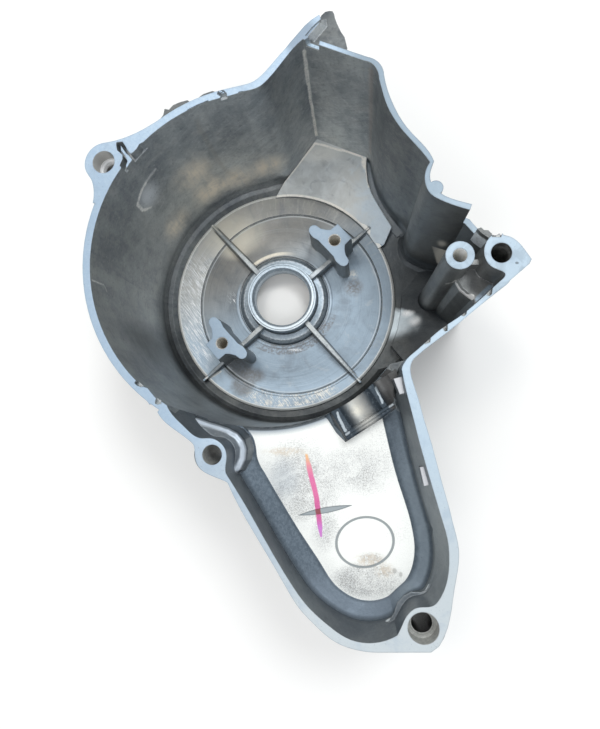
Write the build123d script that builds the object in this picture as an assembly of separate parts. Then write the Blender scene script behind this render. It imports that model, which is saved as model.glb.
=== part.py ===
"""Engine side cover, one die casting: round cup, angular upper pocket, right-hand pocket and shallow tray lobe, with a machined rim."""
import os
from math import cos, sin, radians, hypot, atan2, degrees, sqrt

from build123d import *

# ---------------------------------------------------------------- driving sizes (mm)
HEIGHT = 84.0            # outer face (z = 0) to the machined mating rim
FLOOR = 4.6              # floor of the trench round the disc
DISC_Z = 6.0             # floor disc inside the cup
DISC_R = 54.4
INNER_DISC_R = 45.5      # turned step on the disc
STEP_AT = (3.1, -1.2)    # its centre, a little off the bore
INNER_DISC_Z = 5.3
CUP_R = 61.7             # cup wall, inside, at the rim
WALL = 2.8
DRAFT = 0.9              # degrees, every long wall
COLLAR_R = 16.7
COLLAR_Z = 14.0
BORE_R = 13.5
RECESS_R = 23.4          # shallow recess round the collar
STATOR_Z = 26.0          # top of the two T-shaped seats
STATOR_R = 35.4          # their tapped holes
STATOR_ANGLE = 42.0
STATOR_HOLE_R = 2.5
TRAY_FLOOR_Z = 66.2
TRAY_FOOT_Z = 71.6       # where the tray wall turns into the dished band
TRAY_UNDER_Z = 62.4
BOLT_HOLE_R = 3.5
EAR_HOLE_R = 3.1
POST = (71.7, -1.9)
POST_R = 4.95
POST_TOP = 83.6
POST_HOLE_R = 2.45
EAR_HOLE = (-57.7, 37.7)
LEFT_HOLE = (-14.5, -70.5)
LOW_HOLE = (56.8, -125.9)
RIGHT_HOLE = (85.4, -1.6)


# ---------------------------------------------------------------- helpers
def unit(x, y):
    n = hypot(x, y) or 1.0
    return x / n, y / n


def arc_pts(r, a0, a1, n, cx=0.0, cy=0.0):
    return [(cx + r * cos(radians(a0 + (a1 - a0) * i / n)), cy + r * sin(radians(a0 + (a1 - a0) * i / n))) for i in range(n + 1)]


def inset(pts, corners, d):
    """Move every point of a counter-clockwise closed outline inwards by d, mitred at its corners."""
    out = []
    n = len(pts)
    for i, (x, y) in enumerate(pts):
        x0, y0 = pts[i - 1]
        x1, y1 = pts[(i + 1) % n]
        ax, ay = unit(x - x0, y - y0)
        bx, by = unit(x1 - x, y1 - y)
        nx, ny = unit(-(ay + by), ax + bx)
        half = max(0.5, nx * -ay + ny * ax)
        k = 1.0 / half
        out.append((x + nx * d * k, y + ny * d * k))
    return out


def wire(pts, corners, z):
    """A closed wire through the points: straight between two corners in a row, a spline through the points between them otherwise."""
    n = len(pts)
    cs = sorted(corners)
    edges = []
    for k, c in enumerate(cs):
        e = cs[(k + 1) % len(cs)]
        idx = []
        i = c
        while True:
            idx.append(i % n)
            if i % n == e and len(idx) > 1:
                break
            i += 1
        run = [Vector(pts[j][0], pts[j][1], z) for j in idx]
        if len(run) == 2:
            edges.append(Edge.make_line(run[0], run[1]))
        else:
            edges.append(Edge.make_spline(run))
    return Wire(edges)


def stack(sections, corners):
    """A solid through matched outlines: [(points, z), ...]."""
    return Solid.make_loft([wire(p, corners, z) for p, z in sections], ruled=True)


def prism(pts, z0, z1):
    f = Face(Wire.make_polygon([Vector(x, y, z0) for x, y in pts], close=True))
    return Solid.extrude(f, Vector(0, 0, z1 - z0))


def mix(a, b, t):
    return [(p[0] + (q[0] - p[0]) * t, p[1] + (q[1] - p[1]) * t) for p, q in zip(a, b)]


def cyl(x, y, r, z0, z1, r_top=None):
    if r_top is None or abs(r_top - r) < 1e-6:
        return Solid.make_cylinder(r, z1 - z0, Plane((x, y, z0)))
    return Solid.make_cone(r, r_top, z1 - z0, Plane((x, y, z0)))


def one(shape):
    """The biggest solid of a result."""
    ss = shape.solids()
    return max(ss, key=lambda s: s.volume)


slope = sin(radians(DRAFT)) / cos(radians(DRAFT))

# ---------------------------------------------------------------- deep part: cup, upper pocket and right pocket
# inner outline at the rim, counter-clockwise from the lower right of the cup circle
in_right = [(53.9, -36.7), (59.2, -32.2), (64.8, -27.4), (71.2, -23.1), (77.2, -18.2), (84.4, -11.6),
            (86.2, -8.6), (82.6, -6.7), (80.1, -3.6), (79.7, -0.4), (80.7, 2.6), (83.0, 5.0),
            (79.4, 9.6), (76.1, 13.6), (71.2, 15.3), (65.1, 18.1), (62.2, 20.2), (60.4, 24.2), (60.5, 28.0), (62.2, 31.6),
            (57.4, 38.3), (52.9, 43.9), (49.8, 48.8), (47.4, 54.0), (46.0, 59.1), (44.9, 63.7), (44.2, 67.2), (42.6, 69.5), (39.8, 70.9),
            (28.0, 76.1), (17.4, 80.9), (12.6, 76.2), (8.2, 70.6), (4.5, 66.3), (0.8, 63.4), (-4.5, 62.1)]
corner_r = [0, 5, 11, 13, 19, 25, 28, 30]
circ_in = arc_pts(CUP_R, 90, 90 + 232, 30)[1:]
deep_in = in_right + circ_in
deep_corners = corner_r + [len(deep_in) - 1]

foot = 0.9 + slope * 74
deep_foot = inset(deep_in, deep_corners, slope * 72)
deep_floor = inset(deep_in, deep_corners, slope * 72 + 2.6)
deep_mid = inset(deep_in, deep_corners, slope * 72 + 0.75)
cavity = stack([(inset(deep_in, deep_corners, -slope * 4), HEIGHT + 4), (deep_foot, FLOOR + 3.4), (deep_mid, FLOOR + 1.1), (deep_floor, FLOOR)], deep_corners)

out_right = [(55.6, -37.4), (60.4, -33.4), (66.2, -29.1), (72.6, -24.0), (78.6, -19.0), (86.6, -12.8),
             (88.8, -8.4), (88.4, -4.4), (87.6, -1.0), (86.8, 2.6), (86.0, 5.2), (85.0, 6.6),
             (81.2, 10.8), (77.8, 15.2), (73.1, 16.8), (66.2, 19.8), (64.0, 21.8), (62.2, 25.2), (62.3, 28.2), (63.6, 31.9),
             (59.6, 38.6), (56.0, 42.8), (52.8, 47.4), (49.9, 53.4), (48.0, 58.8), (46.7, 65.0), (46.0, 68.1), (44.1, 70.6), (41.0, 72.2),
             (29.0, 77.4), (17.0, 82.8), (10.6, 77.4), (6.2, 72.4), (2.6, 68.4), (-1.2, 65.6), (-5.4, 64.5)]
circ_out = arc_pts(CUP_R + WALL, 92, 92 + 230, 30)[1:]
deep_out = out_right + circ_out
corner_o = [0, 5, 11, 13, 19, 25, 28, 30]
deep_ocorners = corner_o + [len(deep_out) - 1]
shell = stack([(deep_out, HEIGHT), (inset(deep_out, deep_ocorners, slope * 80), 4.2), (inset(deep_out, deep_ocorners, slope * 80 + 0.7), 2.0),
               (inset(deep_out, deep_ocorners, slope * 80 + 1.7), 0.6), (inset(deep_out, deep_ocorners, slope * 80 + 2.9), 0.0)], deep_ocorners)

# ---------------------------------------------------------------- tray lobe
# outer outline, counter-clockwise: from inside the cup down the left side and up the right side
tray_out = [(-20.0, -40.0), (-34.6, -55.6), (-26.9, -62.7), (-22.9, -65.5), (-21.3, -67.0), (-20.7, -69.8), (-20.1, -73.2), (-18.6, -75.4), (-14.4, -77.8), (-8.9, -80.0),
            (-2.5, -91.9), (5.1, -103.9), (11.2, -113.8), (15.9, -120.9), (21.2, -126.2), (27.7, -131.2), (35.5, -133.7), (41.9, -134.1), (59.1, -133.3), (61.6, -131.4),
            (64.2, -126.3), (67.1, -112.6), (68.7, -103.1), (68.4, -98.1), (67.2, -93.0), (66.3, -88.8), (64.3, -81.0), (62.1, -72.1), (60.1, -64.1), (58.3, -58.0),
            (56.8, -51.8), (54.9, -45.6), (54.2, -42.6), (54.2, -40.2), (55.4, -37.6), (40.0, -24.0)]
tray_oc = [0, 1, 9, 17, 18, 19, 34, 35]
tray_body = stack([(tray_out, HEIGHT), (inset(tray_out, tray_oc, 0.5), TRAY_UNDER_Z + 4.0), (inset(tray_out, tray_oc, 1.2), TRAY_UNDER_Z + 1.6), (inset(tray_out, tray_oc, 2.4), TRAY_UNDER_Z + 0.3), (inset(tray_out, tray_oc, 3.2), TRAY_UNDER_Z)], tray_oc)

# tray cavity: rim outline, floor outline and how much of the step between them the steep wall takes
tray = [
    ((-12.0, -40.0), (-6.0, -40.0), 0.0),
    ((-31.4, -52.4), (-14.0, -50.0), 0.15),
    ((-29.4, -56.1), (-11.6, -54.6), 0.25),
    ((-26.7, -59.0), (-9.4, -58.2), 0.25),
    ((-24.4, -61.0), (-7.4, -60.6), 0.25),
    ((-20.9, -64.0), (-5.2, -62.6), 0.25),
    ((-18.4, -64.9), (-4.2, -63.9), 0.25),
    ((-15.6, -64.8), (-3.4, -65.2), 0.25),
    ((-12.2, -65.9), (-2.7, -67.2), 0.22),
    ((-10.0, -68.3), (-2.2, -69.6), 0.2),
    ((-9.3, -71.2), (-1.9, -72.2), 0.18),
    ((-9.6, -74.0), (-1.0, -74.9), 0.15),
    ((-9.4, -77.0), (0.8, -77.9), 0.12),
    ((-6.6, -81.2), (2.4, -80.6), 0.09),
    ((-2.6, -87.4), (7.4, -88.7), 0.09),
    ((5.8, -101.4), (15.8, -101.8), 0.09),
    ((13.2, -113.0), (22.4, -111.4), 0.1),
    ((18.5, -119.9), (26.6, -117.6), 0.12),
    ((26.4, -126.6), (31.0, -121.2), 0.2),
    ((32.3, -130.1), (34.6, -122.9), 0.28),
    ((38.1, -131.2), (39.2, -123.6), 0.3),
    ((44.5, -130.2), (43.6, -123.0), 0.3),
    ((48.3, -128.4), (46.9, -121.5), 0.3),
    ((49.9, -125.2), (48.6, -119.9), 0.3),
    ((51.7, -121.9), (50.4, -118.2), 0.3),
    ((54.9, -119.5), (52.3, -116.5), 0.3),
    ((59.8, -118.9), (53.9, -114.2), 0.32),
    ((62.6, -115.8), (55.0, -111.6), 0.34),
    ((64.6, -110.8), (55.8, -108.3), 0.35),
    ((65.5, -103.4), (56.1, -103.2), 0.36),
    ((65.2, -98.2), (55.5, -98.4), 0.37),
    ((64.3, -94.2), (54.6, -94.0), 0.37),
    ((61.8, -85.4), (51.9, -85.0), 0.36),
    ((59.8, -78.1), (49.8, -78.0), 0.34),
    ((56.5, -65.5), (46.9, -65.6), 0.3),
    ((54.2, -55.5), (44.9, -56.4), 0.28),
    ((51.8, -45.4), (43.0, -47.0), 0.25),
    ((51.2, -41.0), (41.0, -38.0), 0.0),
    ((40.0, -30.0), (34.0, -30.0), 0.0),
]
tray_c = [0, 1, 12, 22, 37, 38]
rim_t = [t[0] for t in tray]
flo_t = [t[1] for t in tray]
foot_t = [(a[0] + (b[0] - a[0]) * w, a[1] + (b[1] - a[1]) * w) for a, b, w in tray]
over_t = [(a[0] - (b[0] - a[0]) * w / 3, a[1] - (b[1] - a[1]) * w / 3) for a, b, w in tray]
dish = [(over_t, HEIGHT + 3.6), (foot_t, TRAY_FOOT_Z)]
for s, w in ((0.10, 0.035), (0.30, 0.22), (0.62, 0.58), (0.88, 0.88), (1.0, 1.0)):
    dish.append((mix(foot_t, flo_t, w), TRAY_FOOT_Z + (TRAY_FLOOR_Z - TRAY_FOOT_Z) * s))
tray_cavity = stack(dish, tray_c)

# ---------------------------------------------------------------- ears, arm and fin outside the walls
ear = [(-30.0, 52.0), (-33.0, 54.9), (-36.8, 52.9), (-43.4, 49.3), (-51.5, 46.3), (-56.2, 45.4), (-58.6, 45.1), (-62.0, 43.6), (-64.4, 40.6), (-65.1, 37.4), (-64.3, 34.1), (-62.4, 31.3), (-61.4, 28.3), (-61.4, 22.1), (-52.0, 20.0)]
ear_c = [0, 1, 13, 14]
ear_body = stack([(ear, HEIGHT), (inset(ear, ear_c, 0.5), 62.0), (inset(ear, ear_c, 1.6), 60.4)], ear_c)

right_ear = [(72.4, -23.8), (77.1, -20.0), (81.2, -16.7), (84.6, -14.0), (86.8, -12.2), (90.0, -9.5), (94.4, -5.7), (95.2, -4.1), (92.6, 0.0), (90.5, 2.5), (88.0, 4.1), (85.0, 4.6), (82.6, 5.0), (79.0, 2.0), (76.0, -10.0)]
right_c = [0, 3, 6, 7, 12, 13, 14]
right_body = stack([(right_ear, HEIGHT), (inset(right_ear, right_c, 0.6), 54.0), (inset(right_ear, right_c, 1.6), 52.4)], right_c)

arm = [(9.0, 75.2), (10.4, 73.2), (15.7, 79.5), (18.1, 82.1), (20.7, 85.3), (24.0, 88.2), (23.5, 90.0), (20.7, 88.3), (18.1, 86.1), (15.3, 82.9), (12.4, 79.6)]
arm = list(reversed(arm))
arm_body = prism(arm, 46.0, HEIGHT)
fin_body = prism([(14.0, 80.6), (16.4, 78.0), (33.2, 74.6), (33.6, 78.6), (32.6, 83.0), (31.3, 85.1), (29.8, 88.6), (29.1, 90.8), (28.8, 92.4), (28.2, 93.6), (26.9, 93.8), (25.4, 93.5), (24.0, 92.2), (22.6, 89.4), (20.6, 87.8), (17.0, 84.2)], 50.0, 80.6)
fin_under = Solid.extrude(Face(Wire.make_polygon([Vector(0, 96, 40), Vector(0, 96, 74), Vector(0, 80.8, 40)], close=True)), Vector(60, 0, 0))

# the little round boss on the outside of the upper right wall
nub = cyl(64.0, 22.3, 2.6, 58.0, HEIGHT)

# ramp from the arm down to the fin
ramp = [[(16.8, 78.4), (19.6, 79.2), (22.6, 83.0), (26.6, 87.6), (26.2, 91.0), (23.0, 90.4), (19.6, 86.6)],
        [(16.2, 79.6), (16.8, 79.8), (19.2, 82.6), (23.4, 87.4), (23.2, 88.2), (22.2, 88.4), (19.2, 85.6)]]
ramp_body = Solid.make_loft([Wire.make_polygon([Vector(x, y, z) for x, y in q], close=True) for q, z in zip(ramp, (80.2, 83.2))], ruled=True)

body = shell
for s in (tray_body, ear_body, right_body, arm_body.cut(fin_under), fin_body.cut(fin_under), ramp_body, nub):
    body = one(body.fuse(s))

# lump of flash left on the outside of the upper left wall
lump = [(-44.0, 47.0), (-43.5, 49.6), (-38.8, 54.4), (-36.6, 57.2), (-36.1, 59.7), (-34.4, 59.3), (-32.8, 61.0), (-30.2, 62.0), (-27.1, 62.7), (-25.8, 61.5), (-23.6, 62.8), (-21.0, 64.7), (-17.5, 65.7), (-13.5, 64.4), (-14.0, 60.0), (-24.0, 55.0), (-34.0, 49.0)]
for k0, z0, k1, z1 in ((0.925, 69.0, 1.0, 78.2), (1.0, 78.2, 0.992, 80.6)):
    t = Solid.make_loft([Wire.make_polygon([Vector(x * k, y * k, z) for x, y in reversed(lump)], close=True) for k, z in ((k0, z0), (k1, z1))], ruled=True)
    body = one(body.fuse(t))

# bolt bosses carried down outside the tray and the ears
for (x, y), r, z0 in ((LEFT_HOLE, 7.0, 56.0), (LOW_HOLE, 7.6, 56.0), (EAR_HOLE, 7.0, 56.0), (RIGHT_HOLE, 7.0, 48.0)):
    body = one(body.fuse(cyl(x, y, r - 0.5, z0, HEIGHT - 2.0, r)))

body = one(body.cut(cavity))
body = one(body.cut(tray_cavity))

# rounded corner where the tray's right wall runs into the lower wall of the pocket
corner_top = [(47.0, -36.0), (49.0, -42.0), (51.2, -42.6), (51.2, -41.2), (51.5, -40.1), (52.1, -39.0), (53.0, -37.7), (54.0, -36.7), (52.0, -33.4)]
corner_low = [(47.0, -36.0), (49.0, -42.0), (50.9, -42.5), (50.9, -41.2), (51.2, -40.0), (51.8, -38.8), (52.7, -37.5), (53.7, -36.4), (52.0, -33.4)]
body = one(body.cut(Solid.make_loft([Wire.make_polygon([Vector(x, y, z) for x, y in q], close=True) for q, z in ((corner_low, 67.2), (corner_top, HEIGHT + 1))], ruled=True)))

# rounded lip between the cup wall and the tray floor
lip_cut = Solid.make_cone(61.3, 61.8, 1.0, Plane((0, 0, 64.2)))
lip_cut = lip_cut.fuse(Solid.make_cone(61.8, 62.4, 0.55, Plane((0, 0, 65.2))), Solid.make_cone(62.4, 63.5, 0.5, Plane((0, 0, 65.75))))
for v in lip_cut.intersect(prism([(0.0, -40.0), (-9.0, -58.0), (-11.0, -70.0), (34.0, -70.0), (29.0, -57.5), (24.0, -40.0)], 60, 70)).solids():
    body = one(body.cut(v))

# the cup wall stands a little proud beside the two nicks in its lower left rim
proud = [[(-42.6, -45.9), (-38.5, -47.1), (-35.2, -50.9), (-37.6, -53.0)], [(-42.6, -45.9), (-40.6, -47.6), (-36.9, -50.7), (-37.6, -53.0)]]
body = one(body.fuse(Solid.make_loft([Wire.make_polygon([Vector(x, y, z) for x, y in q], close=True) for q, z in zip(proud[::-1], (66.0, HEIGHT))], ruled=True)))

# ---------------------------------------------------------------- inside the cup
inner = []
inner.append(one(cyl(0, 0, DISC_R + 0.9, FLOOR - 1.0, DISC_Z - 0.6, DISC_R + 0.4).fuse(cyl(0, 0, DISC_R + 0.4, DISC_Z - 0.62, DISC_Z, DISC_R - 0.5))))
disc = inner[0].cut(cyl(STEP_AT[0], STEP_AT[1], INNER_DISC_R, INNER_DISC_Z, DISC_Z + 1, INNER_DISC_R + 0.6))
body = one(body.fuse(disc))
body = one(body.cut(cyl(0, 0, RECESS_R - 0.7, INNER_DISC_Z - 0.7, INNER_DISC_Z + 3, RECESS_R + 0.4)))

# plateau under the upper pocket, rising gently from the disc's edge to the foot of the two straight walls
plateau_foot = arc_pts(DISC_R - 1.3, 28.0, 94.6, 17) + [(0.6, 60.4), (8.4, 69.2), (15.6, 77.8), (17.0, 84.0), (42.0, 72.0), (41.7, 68.2), (41.5, 64.6), (42.2, 57.2), (44.0, 52.0), (47.0, 46.2), (50.6, 40.2), (53.7, 35.0), (51.8, 30.8), (50.0, 26.8)]
rise = (0.4075, 0.913)


def slab_above(dx, dy, s0, z0, s1, z1):
    """Everything above a plane that rises along (dx, dy) from height z0 at distance s0 to z1 at s1."""
    k = (z1 - z0) / (s1 - s0)

    def at(s, t):
        return Vector(dx * s - dy * t, dy * s + dx * t, z0 + k * (s - s0))
    f = Face(Wire.make_polygon([at(s0 - 60, -150), at(s0 - 60, 150), at(s1 + 60, 150), at(s1 + 60, -150)], close=True))
    return Solid.extrude(f, Vector(0, 0, 90))


keep = shell.cut(Solid.make_box(300, 300, 2, Plane((-150, -150, -1))))
plateau = prism(plateau_foot, FLOOR - 1.0, 40.0).cut(slab_above(rise[0], rise[1], 52.4, 8.2, 79.6, 13.2))
for t in plateau.solids():
    for v in t.intersect(keep).solids():
        body = one(body.fuse(v))

# lower gutter between the plateau and the right wall
gutter = prism([(40.0, 72.0), (40.4, 64.6), (41.4, 57.2), (43.2, 52.0), (46.0, 46.2), (49.6, 40.2), (52.4, 35.4), (56.4, 30.8), (62.0, 34.0), (56.0, 46.0), (50.0, 60.0), (47.0, 72.0), (42.0, 74.0)], FLOOR - 1.0, 40.0).cut(slab_above(rise[0], rise[1], 52.4, 5.4, 79.6, 10.4))
for t in gutter.solids():
    for v in t.intersect(keep).solids():
        body = one(body.fuse(v))

# floor of the right pocket, rising towards its lower wall
pocket = prism([(57.4, 8.0), (60.0, 22.0), (66.0, 21.0), (78.0, 16.0), (85.0, 4.0), (88.0, -8.0), (72.0, -25.0), (60.0, -34.0), (52.6, -24.0), (55.6, -16.0), (57.4, -8.0), (58.0, 0.0)], FLOOR - 1, 40.0)
pocket = pocket.cut(slab_above(0.78, -0.626, 44.9, 5.0, 66.4, 13.0))
for t in pocket.solids():
    for v in t.intersect(keep).solids():
        body = one(body.fuse(v))

# shelf between the post and the lower right corner, its free edge rounded
corner_shelf = [(72.0, -2.6), (73.0, -7.6), (74.4, -10.4), (76.4, -12.4), (78.4, -14.2), (79.6, -19.0), (86.0, -13.5), (88.0, -8.0), (84.0, -5.0), (81.0, -2.4), (77.0, -2.4)]
corner_lip = [(72.6, -2.6), (74.0, -7.4), (75.3, -9.9), (77.1, -11.7), (79.0, -13.4), (80.2, -18.4), (86.0, -13.5), (88.0, -8.0), (84.0, -5.0), (81.0, -2.4), (77.0, -2.4)]
for (a, z0), (b, z1) in (((corner_shelf, FLOOR - 1), (corner_shelf, 67.6)), ((corner_shelf, 67.5), (corner_lip, 68.8))):
    t = Solid.make_loft([Wire.make_polygon([Vector(x, y, z) for x, y in reversed(q)], close=True) for q, z in ((a, z0), (b, z1))], ruled=True)
    for v in t.intersect(keep).solids():
        body = one(body.fuse(v))

# collar, ribs and the two stator seats
body = one(body.fuse(cyl(0, 0, COLLAR_R + 5.9, FLOOR - 1, 6.7, COLLAR_R + 4.9)))
body = one(body.fuse(cyl(0, 0, COLLAR_R + 4.9, 6.69, 7.7, COLLAR_R + 3.4)))
body = one(body.fuse(cyl(0, 0, COLLAR_R + 3.4, 7.69, 8.4, COLLAR_R - 1.0)))
body = one(body.fuse(cyl(0, 0, COLLAR_R + 0.4, FLOOR - 1, COLLAR_Z, COLLAR_R)))


def rib(a, off, r0, r1, w0, w1, z0, z1):
    """Rib along direction a, set off sideways from the centre; wider and taller at the collar."""
    c, s = cos(radians(a)), sin(radians(a))

    def sec(r, w, z):
        return Wire.make_polygon([Vector(r * c - s * (off + w / 2 * k), r * s + c * (off + w / 2 * k), zz) for k, zz in ((-1.4, FLOOR - 1), (1.4, FLOOR - 1), (1.0, z), (-1.0, z))], close=True)
    return Solid.make_loft([sec(r0, w0, z0), sec(r1, w1, z1)], ruled=True)


for a, off, r1 in ((41.0, -1.4, 56.0), (133.0, 0.0, 54.0), (221.3, 3.6, 56.5), (311.6, 0.85, 56.0)):
    body = one(body.fuse(rib(a, off, 15.4, r1, 2.4, 1.1, 11.6, 7.9)))


def stator(a):
    c, s = cos(radians(a)), sin(radians(a))

    def m(uu, v):
        return (uu * c - v * s, uu * s + v * c)
    cap = [(31.7, -10.2), (31.7, 10.2)]
    poly = [(29.3, -10.2)]
    poly += [(31.7 + 2.4 * cos(radians(t)), -10.2 + 2.4 * sin(radians(t))) for t in (210, 240, 270, 300, 330, 360)]
    poly += [(34.4, -8.6), (36.0, -6.2), (37.4, -4.9), (41.7, -4.7), (41.7, 4.7), (37.4, 4.9), (36.0, 6.2), (34.4, 8.6)]
    poly += [(31.7 + 2.4 * cos(radians(t)), 10.2 + 2.4 * sin(radians(t))) for t in (0, 30, 60, 90, 120, 150)]
    poly += [(29.2, 10.2), (29.1, 8.0), (29.9, 5.2), (29.9, 1.8), (29.9, -1.8), (29.9, -5.2), (29.1, -8.0)]
    cx, cy = 33.6, 0.0
    top = [m(*p) for p in poly]
    base = [m(cx + (p[0] - cx) * 1.07, cy + (p[1] - cy) * 1.045) for p in poly]
    w = [Wire.make_polygon([Vector(x, y, z) for x, y in q], close=True) for q, z in ((base, FLOOR - 1), (top, STATOR_Z))]
    sol = Solid.make_loft(w, ruled=True)
    hx, hy = m(STATOR_R, 0)
    return sol, (hx, hy)


holes = []
for a in (STATOR_ANGLE, STATOR_ANGLE + 180):
    sol, h = stator(a)
    body = one(body.fuse(sol))
    holes.append(h)

# tall post with its webs
body = one(body.fuse(cyl(POST[0], POST[1], POST_R + 1.0, FLOOR - 1, POST_TOP, POST_R)))


def web(a, b, w, z0, za, zb):
    """Upright web between two points, its top running from za to zb."""
    dx, dy = unit(b[0] - a[0], b[1] - a[1])
    nx, ny = -dy * w / 2, dx * w / 2

    def sec(p, z):
        return Wire.make_polygon([Vector(p[0] - nx, p[1] - ny, z0), Vector(p[0] + nx, p[1] + ny, z0), Vector(p[0] + nx * 0.8, p[1] + ny * 0.8, z), Vector(p[0] - nx * 0.8, p[1] - ny * 0.8, z)], close=True)
    return Solid.make_loft([sec(a, za), sec(b, zb)], ruled=True)


body = one(body.fuse(web((73.5, -2.0), (82.5, -2.2), 2.4, FLOOR - 1, 74.6, 75.4)))

# seat between cup and tray: a block with a wide saddle, and a ridge bar along its lower edge
block_top = [(26.4, -55.6), (31.2, -63.4), (32.6, -65.9), (50.4, -54.2), (53.6, -48.0), (50.0, -40.0), (38.6, -47.2)]
block_foot = [(23.6, -57.2), (27.6, -63.4), (31.4, -67.0), (50.4, -54.6), (53.6, -48.0), (50.0, -40.0), (38.6, -47.2)]
block_mid = mix(block_foot, block_top, 0.72)
block = Solid.make_loft([Wire.make_polygon([Vector(x, y, z) for x, y in q], close=True) for q, z in ((block_foot, TRAY_FLOOR_Z - 0.6), (block_mid, 68.6))], ruled=True)
block = one(block.fuse(Solid.make_loft([Wire.make_polygon([Vector(x, y, z) for x, y in q], close=True) for q, z in ((block_mid, 68.58), (block_top, 71.6))], ruled=True)))
across = Vector(-0.549, 0.836, 0)
for e, r, up in ((-0.6, 9.4, 78.2), (11.2, 5.2, 75.6)):
    o = Vector(40.7 + 0.836 * e, -58.6 + 0.549 * e, up)
    block = one(block.cut(Solid.make_cylinder(r, 40, Plane(origin=o - across * 8, z_dir=across))))
for t in block.cut(cyl(0, 0, CUP_R - 0.2, 60, 90)).solids():
    body = one(body.fuse(t))
bar = prism([(30.9, -63.4), (32.2, -65.6), (49.9, -54.0), (48.7, -52.1)], TRAY_FLOOR_Z - 1.0, 71.9)
body = one(body.fuse(bar))
lip = prism([(31.4, -63.6), (31.9, -64.5), (49.3, -53.1), (48.8, -52.3)], 71.8, 72.8)
body = one(body.fuse(lip))

def terrace(base, outline, fixed, levels, trim):
    """A shelf that rounds over along its free edge; the points in fixed lie inside the wall."""
    def grow(d):
        ins = inset(list(reversed(outline)), [], -d)
        ins.reverse()
        return [a if i in fixed else b for i, (a, b) in enumerate(zip(outline, ins))]
    for (z0, d0), (z1, d1) in zip(levels, levels[1:]):
        t = Solid.make_loft([Wire.make_polygon([Vector(x, y, z) for x, y in reversed(grow(d))], close=True) for z, d in ((z0 - 0.02, d0), (z1, d1))], ruled=True)
        for v in (t.cut(trim).solids() if trim else [t]):
            base = one(base.fuse(v))
    return base


# crescent shelf round the left bolt boss, and the narrow ledge round the lower one
crescent = [(-31.0, -53.6), (-27.0, -56.2), (-23.8, -57.7), (-18.8, -59.5), (-14.7, -60.6), (-11.3, -61.7), (-7.9, -63.4), (-5.6, -65.9), (-4.6, -69.3), (-4.9, -73.0), (-6.4, -76.6), (-8.6, -78.6), (-12.0, -72.0), (-14.0, -66.0), (-20.4, -64.9), (-29.0, -58.6)]
body = terrace(body, crescent, {0, 11, 12, 13, 14, 15}, [(TRAY_FLOOR_Z - 1, 2.0), (68.6, 1.2), (72.4, 0.5), (73.8, -0.4), (74.6, -1.7)], cyl(0, 0, CUP_R - 0.25, 60, 90))
ledge = [(60.4, -115.0), (59.4, -117.0), (57.1, -117.9), (54.0, -117.8), (51.5, -119.2), (49.3, -121.6), (48.4, -124.7), (46.5, -127.8), (44.6, -130.4), (46.0, -132.4), (58.0, -131.0), (64.0, -122.0), (64.8, -114.4)]
body = terrace(body, ledge, {8, 9, 10, 11, 12}, [(TRAY_FLOOR_Z - 1, 2.6), (68.2, 1.9), (72.2, 0.7), (74.2, 0.1), (74.7, -0.5)], None)

# two small lug pads on the right wall of the tray
for q in ([(56.9, -74.3), (60.6, -73.6), (62.0, -79.6), (58.2, -80.6)], [(48.6, -44.2), (53.4, -43.0), (54.8, -48.6), (50.6, -49.6)]):
    body = one(body.fuse(prism(list(reversed(q)), TRAY_FLOOR_Z + 1.0, 81.4)))

# ---------------------------------------------------------------- cuts
body = one(body.cut(cyl(0, 0, BORE_R, -1, 30)))
body = one(body.cut(cyl(0, 0, BORE_R, COLLAR_Z - 1.6, COLLAR_Z + 0.01, BORE_R + 1.2)))
body = one(body.cut(cyl(0, 0, 17.2, 1.8, 7.0, BORE_R)))
body = one(body.cut(cyl(0, 0, 17.6, -1.0, 2.0)))
for x, y in holes:
    body = one(body.cut(cyl(x, y, STATOR_HOLE_R, 11.0, STATOR_Z + 1)))
    body = one(body.cut(cyl(x, y, 0.2, 9.4, 11.01, STATOR_HOLE_R)))
    body = one(body.cut(cyl(x, y, STATOR_HOLE_R, STATOR_Z - 0.5, STATOR_Z + 0.01, STATOR_HOLE_R + 0.4)))
body = one(body.cut(cyl(POST[0], POST[1], POST_HOLE_R, 52.0, HEIGHT + 1)))
for (x, y), z0 in ((LEFT_HOLE, 40), (LOW_HOLE, 40), (RIGHT_HOLE, 52)):
    body = one(body.cut(cyl(x, y, BOLT_HOLE_R, z0, HEIGHT + 1)))
body = one(body.cut(cyl(EAR_HOLE[0], EAR_HOLE[1], EAR_HOLE_R, 40, HEIGHT + 1)))
body = one(body.cut(cyl(EAR_HOLE[0], EAR_HOLE[1], EAR_HOLE_R, HEIGHT - 8.4, HEIGHT - 6.9, BOLT_HOLE_R + 0.05)))
body = one(body.cut(cyl(EAR_HOLE[0], EAR_HOLE[1], 4.3, HEIGHT - 7.0, HEIGHT + 1)))
body = one(body.cut(cyl(LOW_HOLE[0], LOW_HOLE[1], 5.1, HEIGHT - 5.6, HEIGHT + 1)))

# stepped rim of the right pocket, lowered strip by the arm, crack and chips of the rim
body = one(body.cut(prism([(74.8, 12.2), (76.6, 17.2), (80.0, 18.0), (88.4, 8.0), (84.6, 5.4), (82.3, 5.2), (81.0, 3.0), (79.2, 4.6)], HEIGHT - 12.5, HEIGHT + 1)))
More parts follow.
